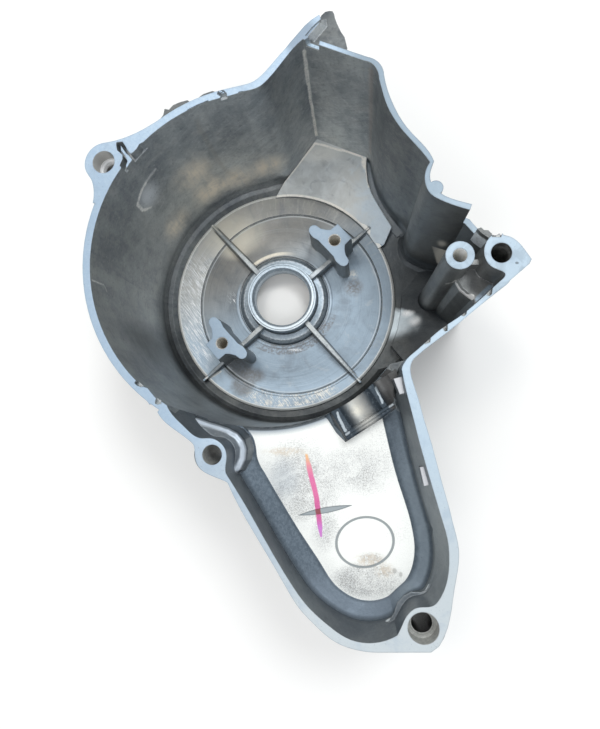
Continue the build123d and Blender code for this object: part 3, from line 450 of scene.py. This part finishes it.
# painted shadow: the two holes through the tray near black, and more metallic
hole_shadow = hole(56.8, -125.9, 4.0, 40.0, 78.2).max(hole(-14.5, -70.5, 4.0, 40.0, 83.2) * M.sm(X, -15.5, -13.5))
hw = M.mix(hole_shadow * 0.99, hw, hexc("#030202"))
# painted shade on the wall of the bore
hw = M.mix(M.sm(R, 14.0, 13.6) * 0.7, hw, hexc("#4a423b"))
hw = wear(hw, 0.6, "#ecece8")
MAT_HOLE = finish(hw, hole_shadow * 0.83 + 0.15, 0.40, n("pits") * 0.03 - turns * M.sm(R, 20.0, 22.0) * 0.18)

# ---- collar round the bore
start("collar")
cl = M.mix(M.sm(n("fine"), 0.35, 0.65), hexc("#a3b0bb"), hexc("#bfcbd4"))
cl = M.mix(M.sm(n("mid"), 0.50, 0.72) * 0.35, cl, hexc("#737f8a"))
turn_tex = M.noise(1.0, 3.0, 0.7, vec=M.xyz(R * 2.6, ang * 0.4, Z * 2.2))
cl = M.mix(M.sm(turn_tex, 0.50, 0.66) * 0.45, cl, hexc("#c9d5de"))
cl = M.mix(M.sm(turn_tex, 0.44, 0.30) * 0.40, cl, hexc("#66717a"))
# painted highlight on the top of the collar, on its lower side
cl = M.mix(M.sm(Z, 13.0, 13.8) * M.sm(X * 0.4 - Y * 0.9, -4.0, 14.0) * 0.55, cl, hexc("#dfe6ea"))
cl = shade(cl, M.fmix(M.sm(Z, 9.6, 8.8), 1.0, 0.74))
# painted shade along the creases of the collar, also grooved a little in the bump
crease_shade = M.sm((R - 22.3).abs(), 0.55, 0.15).max(M.sm((R - 17.0).abs(), 0.65, 0.2) * M.sm(Z, 9.4, 8.8)).max(M.sm((R - 15.9 - (n("mid") - 0.5) * 0.5).abs(), 0.24, 0.06) * M.sm(Z, 13.4, 13.8) * 0.55)
cl = M.mix(crease_shade * 0.85, cl, hexc("#2f363c"))
# painted highlight on the rounded foot of the collar
cl = M.mix(M.sm((R - 20.0).abs(), 0.9, 0.2) * M.sm(Z, 9.0, 8.7) * M.sm(n("fine"), 0.35, 0.6) * 0.5, cl, hexc("#d0d4d6"))
cl = wear(cl, 0.5, "#dfe5e9")
MAT_COLLAR = finish(cl, 0.80, 0.44, n("pits") * 0.05 + turn_tex * 0.10 - crease_shade * 0.2)

# ---- machined faces
start("machined")
# bluish base: painted sky reflection on the machined faces
cut = M.mix(M.sm(n("fine"), 0.35, 0.7), hexc("#a8bccf"), hexc("#b9cad8"))
cut = M.mix(M.sm(X, 30.0, 62.0) * 0.7, cut, hexc("#b0bfc9"))
cut = M.mix(M.sm(Y, -60.0, -122.0), cut, hexc("#bac1c4"))
cut = M.mix(M.sm(X, -8.0, -36.0) * M.sm(Y, 60.0, 20.0) * 0.60, cut, hexc("#8fa2b4"))
cut = M.mix(M.sm(X, 26.0, 40.0) * M.sm(Y, 8.0, 22.0) * 0.95, cut, hexc("#8594a0"))
cut = M.mix(blob((17.0, 82.0, 84.0), (9.0, 9.0, 6.0), 0.5, M.pos) * 0.8, cut, hexc("#8391a0"))
cut = M.mix(M.sm(X, 62.0, 68.0) * M.sm(Y, -20.0, -14.0) * M.sm(n("mid2"), 0.40, 0.60, 0.35, 0.85), cut, hexc("#92a0ab"))
cut = M.mix(M.sm(X, 20.0, 4.0) * M.sm(Y, -58.0, -76.0) * 0.60, cut, hexc("#a2aeb8"))
cut = M.mix(M.sm(n("mid"), 0.54, 0.70) * 0.35, cut, hexc("#93a4b4"))
cut = M.mix(M.sm(n("speck"), 0.66, 0.72) * 0.55, cut, hexc("#7d8890"))
cut = M.mix(M.sm(n("grain"), 0.60, 0.75) * 0.35, cut, hexc("#e0e8ee"))
cut = M.mix(M.sm(Z, 27.0, 26.6) * M.sm(X, -20.0, 10.0, 0.20, 0.62), cut, hexc("#8594a2"))
pad = M.sm(Z, 82.6, 82.2) * M.sm(X, 44.0, 46.0) * M.sm(Y, -38.0, -40.0)
cut = M.mix(pad, cut, hexc("#c3c3c6"))
# painted shade in the nicks and torn places along the inner edge of the rim
nick_shade = line([(-25.6, 56.0, 84.0), (-22.0, 57.6, 84.0), (-18.2, 59.0, 84.0)], 0.30, 0.25)
nick_shade = nick_shade.max(blob((-12.9, 62.0, 84.0), (1.9, 1.3, 2.5), 0.75) * M.sm(n("fine"), 0.40, 0.50)).max(seg((-6.0, 61.9, 84.0), (-3.0, 62.1, 84.0), 0.28, 0.2))
nick_shade = nick_shade.max(blob((-42.6, -45.2, 84.0), (0.9, 0.9, 3.0), 0.6)).max(blob((90.5, -5.2, 84.0), (0.7, 0.6, 2.0), 0.5) * 0.7)
cut = M.mix(nick_shade * 0.92, cut, hexc("#23272b"))
MAT_CUT = finish(cut, 0.25, 0.50, n("pits") * 0.012)

# ---- tray floor: bright, speckled in patches
start("tray_floor")
dust2 = blob((14.0, -82.0, 66.2), (21.0, 20.0, 12.0), 0.15).max(blob((34.0, -77.0, 66.2), (20.0, 13.0, 12.0), 0.05) * 0.70)
low_dust = blob((39.5, -116.5, 66.2), (15.0, 7.5, 9.0), 0.45)
dust2 = dust2.max(low_dust).max(blob((24.0, -99.0, 66.2), (7.0, 10.0, 9.0), 0.2) * 0.6).max(blob((41.0, -109.0, 66.2), (6.0, 3.5, 9.0), 0.2) * 0.9)
dust2 = (dust2 * M.sm(n("mid2") * 0.5 + n("patchy") * 0.5, 0.36, 0.58, 0.35, 1.25)).min(1.0)
tf = M.mix(dust2 * M.sm(n("fine"), 0.20, 0.60, 0.3, 1.0) * 0.55, hexc("#f6f6f1"), hexc("#b3b6b8"))
tf = M.mix(M.sm(n("dots"), 0.50, 0.62) * (dust2 * 0.75 + M.sm(n("patchy"), 0.48, 0.66) * 0.25).min(1.0), tf, hexc("#a19f9b"))
tf = M.mix(M.sm(n("grain"), 0.48, 0.62) * (dust2 * 0.85 + 0.14), tf, hexc("#9d9b98"))
tf = M.mix(M.sm(n("grain"), 0.44, 0.32) * dust2 * 0.6, tf, hexc("#f6f6f2"))
tf = M.mix(low_dust * M.sm(n("speck"), 0.54, 0.66) * 0.55, tf, hexc("#85837f"))
smudge = blob((8.0, -81.0, 66.2), (9.0, 11.0, 8.0), 0.2)
tf = M.mix(smudge * 0.40, tf, hexc("#a3adb6"))
warmth = blob((9.0, -70.5, 66.2), (11.0, 2.5, 5.0), 0.2).max(blob((40.0, -109.5, 66.2), (8.0, 4.0, 5.0), 0.2)).max(blob((45.0, -113.0, 66.2), (5.0, 4.0, 5.0), 0.2))
tf = M.mix(warmth * M.sm(n("fine"), 0.35, 0.6) * 0.55, tf, hexc("#cdbba2"))
tf = M.mix(M.sm(R, 65.5, 62.4) * 0.8, tf, hexc("#7d8c99"))
tf = M.mix(M.sm(R, 63.1, 62.3), tf, hexc("#333b42"))
# shallow grey sliver across the middle
u, v = local(23.8, -91.9, 0.980, 0.198)
lens_w = (1.0 - (u / 10.2) * (u / 10.2)).max(0.0) * 1.02
lens = M.sm(v.abs() - lens_w, 0.16, -0.12) * M.sm(u.abs(), 10.4, 10.0)
lens_rim = lens * M.sm((v.abs() - lens_w).abs(), 0.42, 0.12)
tf = M.mix(lens, tf, hexc("#9aa1a4"))
tf = M.mix(lens_rim * 0.7, tf, hexc("#6b7376"))
# oval ring
u, v = local(38.3, -103.0, 0.966, 0.259)
oval_d = (((u / 10.5) * (u / 10.5) + (v / 8.8) * (v / 8.8)).sqrt() - 1.0).abs() * 9.5
oval = M.sm(oval_d, 0.55, 0.28)
tf = M.mix(oval * 0.9, tf, hexc("#838a8c"))
# two small stains
stain = blob((48.7, -113.0, 66.2), (1.0, 1.3, 2.0), 0.4).max(blob((50.8, -114.3, 66.2), (0.9, 1.2, 2.0), 0.4))
tf = M.mix(stain * 0.5, tf, hexc("#8d8b86"))
# marker stroke
t_ = -71.7 - Y
xc = (t_ * 0.233 + 16.9).min(t_ * 0.126 + 18.6) + (n("mid") - 0.5) * 0.6
halfw = M.sm(t_, -0.5, 5.0, 0.45, 0.95) * M.sm(t_, 31.0, 25.0, 0.25, 1.0) + (n("fine") - 0.5) * 0.35
stroke = M.sm((X - xc).abs() - halfw, 0.22, -0.18) * M.band(t_, 0.0, 29.6, 0.7)
ink = M.mix(M.sm(t_, 0.0, 4.5), hexc("#e6b27c"), hexc("#df8a96"))
ink = M.mix(M.sm(t_, 3.0, 9.0), ink, hexc("#d9649a"))
ink = M.mix(M.sm(t_, 12.0, 20.0), ink, hexc("#c9508f"))
ink = M.mix(M.sm(t_, 22.5, 27.0), ink, hexc("#c86fc4"))
ink = M.mix(lens, ink, hexc("#8a3a44"))
tf = M.mix(stroke * M.sm(n("grain"), 0.25, 0.5, 0.72, 0.97), tf, ink)
MAT_TRAY = finish(tf, 0.0, 0.60, n("pits") * 0.012 - lens * 0.25 - oval * 0.22)

# ---- sloping band round the tray
start("tray_band")
tb = M.mix(M.sm(n("fine"), 0.30, 0.70), hexc("#5f6a74"), hexc("#727d87"))
tb = M.mix(M.sm(n("mid"), 0.5, 0.72) * 0.25, tb, hexc("#9aa7b3"))
# painted highlight along the middle of the band on the right
tb = M.mix(M.sm(X, 46.0, 56.0) * M.band(Z, 68.0, 69.6, 1.2) * 0.45, tb, hexc("#a9b5be"))
tb = M.mix(M.sm(Y, -108.0, -122.0) * 0.45, tb, hexc("#9fabb8"))
# painted shade at the top of the band under the wall, and at its foot beside the floor
tb = M.mix(M.sm(Z, 69.6, 71.4) * 0.8, tb, hexc("#40484f"))
tb = M.mix(M.sm(Z, 67.2, 66.3) * 0.35, tb, hexc("#4d565e"))
tb = M.mix(M.sm(n("grain"), 0.58, 0.75) * 0.3, tb, hexc("#aab5bd"))
tb = M.mix(M.sm(n("speck"), 0.68, 0.75) * 0.6, tb, hexc("#3a4249"))
# painted highlight along the top of the lower right ledge
ledge_highlight2 = line([(45.9, -128.2, 73.2), (48.4, -123.4, 73.2), (51.9, -118.9, 73.4), (56.3, -117.4, 73.6), (59.8, -115.6, 73.8)], 0.55, 0.5, M.pos)
tb = M.mix(ledge_highlight2 * 0.75, tb, hexc("#d3dadf"))
tb = wear(tb, 0.3)
MAT_BAND = finish(tb, 0.80, 0.46, n("pits") * 0.09 + n("relief") * 0.25)

# ---- saddle between cup and tray, with the ridge bar along its lower edge
start("saddle")
u, v = local(40.7, -58.6, 0.836, 0.549)
# painted light and shade: light along the middle of the saddle, dark towards its sides
off = (u + 1.2).abs() + (n("mid") - 0.5) * 2.0
sd = M.mix(M.sm(off, 0.6, 6.0), hexc("#a5a49f"), hexc("#3b444c"))
# painted warm highlight in the saddle
sd = M.mix(blob((36.0, -55.0, 68.9), (3.4, 3.6, 3.0), 0.0) * M.sm(n("fine"), 0.35, 0.6, 0.4, 1.0) * 0.55, sd, hexc("#e0d9c8"))
sd = M.mix(M.sm(n("fine"), 0.50, 0.70) * 0.30, sd, hexc("#8c949a"))
sd = M.mix(M.sm(u, 7.6, 9.4) * 0.75, sd, hexc("#55524f"))
sd = M.mix(seg((28.8, -56.0, 71.6), (31.6, -62.6, 71.6), 0.30, 0.4).max(seg((42.9, -46.9, 71.3), (45.4, -52.0, 71.6), 0.25, 0.4)) * 0.65, sd, hexc("#c9d2d8"))
# painted highlight along the middle of the bar top, darker towards its ends, and painted highlights at its ends
bar_line = M.band(v, -5.6, -1.9, 0.25) * M.sm(Z, 71.0, 71.6)
sd = M.mix(bar_line, sd, M.mix(M.sm((u - 1.0).abs(), 9.0, 2.0), hexc("#5a6167"), hexc("#a5a8aa")))
sd = M.mix(seg((31.5, -63.5, 72.8), (32.4, -63.0, 72.8), 0.5, 0.6).max(seg((48.2, -53.7, 72.8), (48.9, -53.0, 72.8), 0.4, 0.5)) * 0.5, sd, hexc("#cfd7dc"))
# painted shade on the steep faces
sd = M.mix(M.sm(M.nz, 0.6, 0.3) * 0.92, sd, hexc("#262d33"))
MAT_SADDLE = finish(sd, 0.80, 0.46, n("pits") * 0.05 + n("relief") * 0.15)

# ---- turned disc: fine turning lines, burnished round its left and lower edge, with painted glare there
start("turned_disc")
side = X * 0.50 - Y * 0.86
dc = M.mix(M.sm(side, -34.0, 4.0), hexc("#a5a39e"), hexc("#99a8b5"))
dc = M.mix(M.sm(n("mid"), 0.45, 0.75) * 0.45, dc, hexc("#7b8289"))
dc = M.mix(M.sm(n("mid2"), 0.55, 0.75) * 0.30, dc, hexc("#c1c4c4"))
ring_tex = M.noise(1.0, 4.0, 0.7, vec=M.xyz(R * 1.6, ang * 0.5, Z))
dc = M.mix(M.sm(ring_tex, 0.54, 0.74) * 0.25, dc, hexc("#c2cad0"))
dc = M.mix(M.sm(ring_tex, 0.46, 0.30) * 0.25, dc, hexc("#68717a"))
dc = M.mix(M.sm(n("grain"), 0.58, 0.75) * 0.18, dc, hexc("#d4d9dc"))
scr, rad_tex = scratches(), radial()
R2 = ((X - 3.1) * (X - 3.1) + (Y + 1.2) * (Y + 1.2)).sqrt()
outer_ring = M.sm(R2, 44.9, 46.1)
# painted light and shade: darker in the middle and towards the top, lighter on the left of the outer ring and along its
# bottom
light = M.fmix(blob((-16.0, 12.0, 5.3), (42.0, 36.0, 30.0), 0.25) * M.sm(R2, 45.8, 44.9), 1.0, 0.54)
light = light * M.fmix(outer_ring * M.sm(X * -0.85 + Y * 0.30, 16.0, 38.0), 1.0, 1.66)
light = light * M.fmix(M.sm(Y, -28.0, -44.0) * M.sm(R, 36.0, 46.0), 1.0, 1.36)
light = light * M.fmix(M.sm(X * 0.9 - Y * 0.4, 4.0, 30.0), 1.0, 0.95) * M.fmix(blob((9.0, 36.0, 5.3), (24.0, 13.0, 20.0), 0.2), 1.0, 0.60)
dc = shade(dc, light)
# burnish scratches with painted glare on the left of the outer ring
burnish_glare = M.sm(scr, 0.48, 0.60) * outer_ring * M.sm(X, -32.0, -43.0) * M.band(Y, -28.0, 18.0, 10.0)
dc = M.mix(burnish_glare * 0.90, dc, hexc("#ffffff"))
# burnish scratches with painted glare along the bottom of the outer ring
burnish_glare2 = outer_ring * M.sm(R, 53.6, 52.4) * M.sm(Y, -37.0, -43.0) * M.band(X, -14.0, 20.0, 9.0)
burnish_glare2 = burnish_glare2 * M.sm(scr * 0.45 + n("fine") * 0.30 + n("mid2") * 0.25, 0.465, 0.56)
dc = M.mix(burnish_glare2 * 0.9, dc, hexc("#fffaf0"))
dc = M.mix(M.sm(rad_tex, 0.50, 0.68) * outer_ring * M.sm(Y, 10.0, 34.0) * 0.35, dc, hexc("#d5d2c8"))
# painted warm glare towards the top left
top_glare = blob((-27.0, 35.0, 6.0), (21.0, 15.0, 9.0), 0.25)
dc = M.mix(top_glare * 0.68, dc, hexc("#ece5d4"))
dc = M.mix(blob((-25.0, 26.0, 5.3), (9.0, 6.0, 4.0), 0.1) * 0.45, dc, hexc("#ded6c4"))
# painted brown shadows of the stator seats, low left and right
seat_shadow = line([(-25.0, -32.0, 6.0), (-19.0, -38.0, 6.0), (-20.5, -42.0, 6.0)], 3.6, 4.0).max(blob((-15.0, -37.5, 6.0), (7.5, 5.0, 5.0), 0.4)).max(blob((34.8, 6.2, 5.3), (6.0, 6.0, 5.0), 0.3) * M.sm(n("fine"), 0.30, 0.62, 0.35, 1.0))
dc = M.mix(seat_shadow * M.sm(n("fine"), 0.25, 0.6, 0.6, 1.0) * 0.70, dc, hexc("#77716c"))
# painted highlight beside the shadow of the right seat
dc = M.mix(blob((34.5, 12.5, 5.3), (3.0, 3.4, 4.0), 0.2) * M.sm(n("fine"), 0.35, 0.6) * 0.6, dc, hexc("#ece6da"))
dc = M.mix(blob((-26.0, 2.0, 5.3), (4.0, 4.0, 4.0), 0.2) * M.sm(scr, 0.54, 0.62) * 0.9, dc, hexc("#ffffff"))
step_line = M.sm((R2 - 45.3).abs(), 0.42, 0.12) * M.sm(n("mid2"), 0.32, 0.50, 0.35, 1.0)
dc = M.mix(step_line * 0.65, dc, hexc("#454d54"))
dc = M.mix(M.sm((R2 - 44.6).abs(), 0.45, 0.15) * 0.4, dc, hexc("#dfe4e6"))
step2 = M.sm((R2 - 46.8 - (n("mid") - 0.5) * 1.5).abs(), 0.30, 0.08) * M.sm(Y, -32.0, -36.0)
dc = M.mix(step2 * 0.6, dc, hexc("#56606a"))
# the shallow recess round the collar: a painted cream highlight as a crescent above, pale blue ones at both sides, a
# fine line round the rest
recess_highlight = M.sm((R - 24.3).abs(), 1.15, 0.45)
up = X * -0.12 + Y * 0.99
dc = M.mix(recess_highlight * M.sm(up, 18.5, 21.5) * M.sm(X, 8.0, -6.0) * M.sm(n("fine"), 0.30, 0.55, 0.65, 1.0) * 0.62, dc, hexc("#f4ebd8"))
dc = M.mix(M.sm((R - 24.2).abs(), 0.36, 0.10) * M.sm(up, 18.0, 10.0) * M.sm(n("mid"), 0.30, 0.5, 0.35, 1.0) * 0.6, dc, hexc("#55606b"))
dc = M.mix(M.sm(R, 23.9, 23.5) * M.sm(X * 0.95 + Y * 0.2, 14.0, 20.0) * 0.45, dc, hexc("#c3d0dc"))
dc = M.mix(M.sm(R, 24.6, 23.8) * M.sm(X * -0.95 - Y * 0.3, 17.0, 21.5) * 0.40, dc, hexc("#bccbd8"))
# darker in the recess round the collar, on its lower side
recess_dark = M.band(R, 22.4, 27.0, 0.6) * M.sm(X * 0.35 - Y * 0.94, 12.0, 20.0) * M.sm(n("fine"), 0.38, 0.6)
dc = M.mix(recess_dark * 0.55, dc, hexc("#6f665f"))
dc = M.mix(blob((6.0, -24.6, 5.0), (5.0, 1.0, 3.0), 0.2) * M.sm(n("grain"), 0.45, 0.55) * 0.7, dc, hexc("#ffffff"))
# painted shade: dark outline beside the foot of each rib
rib_foot_shade = None
for a, off in RIBS:
    ca, sa = math.cos(math.radians(a)), math.sin(math.radians(a))
    across = (X * -sa + Y * ca - off).abs() + R * 0.025
    k = M.sm((across - 2.35).abs(), 0.55, 0.20) * M.sm(X * ca + Y * sa, 18.0, 22.0)
    rib_foot_shade = k if rib_foot_shade is None else rib_foot_shade.max(k)
dc = M.mix(rib_foot_shade * M.sm(R, 53.0, 50.0) * 0.70, dc, hexc("#30373d"))
# bright polished edge of the disc, with a painted highlight along it
rim_polish_highlight = M.sm((R - 54.3 + (n("fine") - 0.5) * 0.7).abs(), 1.15, 0.60) * M.sm(X * -0.7 + Y * 0.7, -50.0, 6.0, 0.7, 1.0)
rim_polish_highlight = rim_polish_highlight.max(seg((-39.2, -39.6, 6.0), (-32.0, -35.4, 6.0), 0.30, 0.4) * 0.8)
dc = M.mix(rim_polish_highlight * 0.9, dc, hexc("#fffdf6"))
dc = wear(dc, 0.5, "#ecece8")
MAT_DISC = finish(dc, 0.80 - rim_polish_highlight.max(burnish_glare2 * 0.8) * 0.55, 0.52, n("pits") * 0.05 + n("relief") * 0.15 + ring_tex * 0.05 - step_line * 0.12)

# ---- plateau: soft burnish, bright along its edges
start("plateau")
rad_tex = radial()
pl = M.mix(M.sm(n("mid"), 0.35, 0.7), hexc("#c6c8c6"), hexc("#dcdfde"))
pl = M.mix(M.sm(n("mid2"), 0.50, 0.72) * 0.45, pl, hexc("#8b9095"))
pl = M.mix(M.sm(X + (n("mid") - 0.5) * 30.0, 30.0, 46.0) * 0.75, pl, hexc("#b9c8d4"))
pl = M.mix(M.sm(rad_tex, 0.52, 0.7) * 0.3, pl, hexc("#c4c7c7"))
pl = M.mix(M.sm(n("grain"), 0.55, 0.72) * 0.2, pl, hexc("#d2d5d5"))
pl = M.mix(blob((19.0, 72.5, 12.4), (17.0, 7.0, 5.0), 0.15) * 0.55, pl, hexc("#f4f1e8"))
pl_edge = line([(-4.3, 52.8, 8.1), (0.8, 60.3, 9.2), (8.6, 69.2, 11.0), (16.4, 77.6, 12.9), (31.2, 72.6, 13.0), (39.5, 69.2, 13.1), (41.4, 65.4, 12.6), (41.8, 60.0, 11.8), (42.7, 55.0, 10.8)], 0.22, 0.65)
pl_edge = pl_edge.max(blob((41.0, 66.5, 12.6), (2.6, 4.5, 3.0), 0.4))
pl_arc = M.sm((R - 53.6).abs(), 0.95, 0.25) * M.sm(X, 48.0, 30.0)
pl = M.mix(pl_edge.max(pl_arc) * M.sm(n("fine"), 0.30, 0.55, 0.55, 1.0), pl, hexc("#fffaf0"))
pl = wear(pl, 0.5, "#ecebe6")
MAT_PLATEAU = finish(pl, 0.80 - pl_edge.max(pl_arc) * 0.6, 0.55, n("pits") * 0.08 + n("relief") * 0.20)

# ---- which face is which
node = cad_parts["cover_casting"]
mesh = node.data
mesh.materials.clear()
for mm in (MAT_WALL, MAT_TRAYW, MAT_HOLE, MAT_CUT, MAT_TRAY, MAT_BAND, MAT_SADDLE, MAT_DISC, MAT_PLATEAU, MAT_COLLAR):
    mesh.materials.append(mm)
WALL, TRAYW, HOLE, CUT, TRAY, BAND, SADDLE, DISC, PLATEAU, COLLAR = range(10)
STATOR_HOLES = ((26.3, 23.7), (-26.3, -23.7))
HOLES = ((0.0, 0.0, 14.6, -1.0, 11.8), (-57.7, 37.7, 4.9, 62.0, 83.9), (-14.5, -70.5, 4.2, 40.0, 83.9), (56.8, -125.9, 5.8, 40.0, 83.9), (85.4, -1.6, 4.2, 40.0, 83.9))
NW = node.matrix_world


def on_rib(x, y, z):
    for a, off in RIBS:
        ca, sa = math.cos(math.radians(a)), math.sin(math.radians(a))
        if x * ca + y * sa > 17.2 and abs(y * ca - x * sa - off) < 2.0 and z > 5.6:
            return True
    return False


def region(c, q):
    x, y, z = c
    r = math.hypot(x, y)
    tray = y < -55.5 and r > 61.6
    if q.z > 0.9:
        if z > 82.9 or abs(z - 26.0) < 0.6 and r < 46.0:
            return CUT
        if abs(z - 71.5) < 0.5 and x > 74.0 and 2.0 < y < 17.5:
            return CUT
        if 80.8 < z < 82.0 and x > 45.0 and y < -39.0:
            return CUT
        if abs(z - 66.2) < 0.3 and tray:
            return TRAY
    if 4.0 < z < 14.6 and 12.0 < r < 22.7 and (z > 11.9 or q.z > 0.15 and (z > 5.0 or r > 22.0 and q.z < 0.9)) and not on_rib(x, y, z):
        return COLLAR
    if 13.4 < r < 18.0 and 8.3 < z < 14.6:
        return COLLAR
    if 3.0 < z < 8.4 and r < 55.0 and q.z > 0.5 and not (q.z < 0.97 and 25.0 < r < 52.0):
        return DISC
    along = x * 0.4075 + y * 0.913
    if 6.0 < z < 14.2 and r > 52.6 and q.z > 0.9 and along > 43.0 and x < 56.0 and z > 7.2 + 0.1838 * (along - 52.4):
        return PLATEAU
    for hx, hy, hr, z0, z1 in HOLES:
        if math.hypot(x - hx, y - hy) < hr and z0 < z < z1:
            return HOLE
    if z < 26.5 and any(math.hypot(x - hx, y - hy) < 2.8 for hx, hy in STATOR_HOLES) or math.hypot(x - 71.7, y + 1.9) < 2.9 and z < 83.9:
        return HOLE
    if 66.3 < z < 73.0 and 47.0 < x * 0.91 - y * 0.41 < 66.0 and 60.5 < r < 75.0 and y < -40.0 and (z > 68.0 or q.z < 0.4) and x < 51.5 and (x - 40.7) * -0.549 + (y + 58.6) * 0.836 > -6.2:
        return SADDLE
    if tray and 66.2 < z < 72.8 and q.z > 0.25:
        return BAND
    if 66.8 < z < 67.6 and 45.0 < x < 56.0 and -45.0 < y < -32.0:
        return WALL
    if z > 60.0 and (tray or y < -40.0 and x > 40.0):
        return TRAYW
    return WALL


for p in mesh.polygons:
    p.material_index = region(NW @ p.center * 1000.0, (NW.to_3x3() @ p.normal).normalized())

# ---------------------------------------------------------------- floor and light
floor_mesh = bpy.data.meshes.new("floor")
s = 4.0
floor_mesh.from_pydata([(-s, -s, 0), (s, -s, 0), (s, s, 0), (-s, s, 0)], [], [(0, 1, 2, 3)])
floor = bpy.data.objects.new("floor", floor_mesh)
scene.collection.objects.link(floor)
FM = Mat("floor")
FM.b.inputs["Base Color"].default_value = (0.91, 0.89, 0.865, 1)
FM.b.inputs["Roughness"].default_value = 0.9
FM.b.inputs["Specular IOR Level"].default_value = 0.1
floor_mesh.materials.append(FM.m)

w = bpy.data.worlds.new("studio")
scene.world = w
w.use_nodes = True
bg = w.node_tree.nodes["Background"]
bg.inputs["Color"].default_value = (0.90, 0.95, 1.0, 1)
bg.inputs["Strength"].default_value = 0.68


def area(name, where, at, size, power, colour):
    l = bpy.data.lights.new(name, "AREA")
    l.shape = "DISK"
    l.size = size
    l.energy = power
    l.color = colour
    o = bpy.data.objects.new(name, l)
    o.location = where
    o.rotation_euler = (Vector(where) - Vector(at)).to_track_quat("Z", "Y").to_euler()
    scene.collection.objects.link(o)
    return o


area("key", (-0.29, 0.38, 1.25), (0.0, 0.0, 0.0), 0.36, 2.65, (1.0, 0.96, 0.90))
area("side", (0.34, 0.50, 1.15), (0.0, 0.0, 0.0), 0.40, 5.75, (0.94, 0.98, 1.0))
area("front", (-0.22, -0.74, 1.10), (0.0, 0.02, 0.02), 0.60, 2.2, (0.98, 0.98, 1.0))
area("right", (0.62, -0.50, 1.05), (0.0, 0.02, 0.02), 0.60, 1.6, (0.98, 0.99, 1.0))
area("left", (-0.55, -0.55, 1.00), (0.03, 0.0, 0.03), 0.30, 0.7, (1.0, 0.97, 0.92))
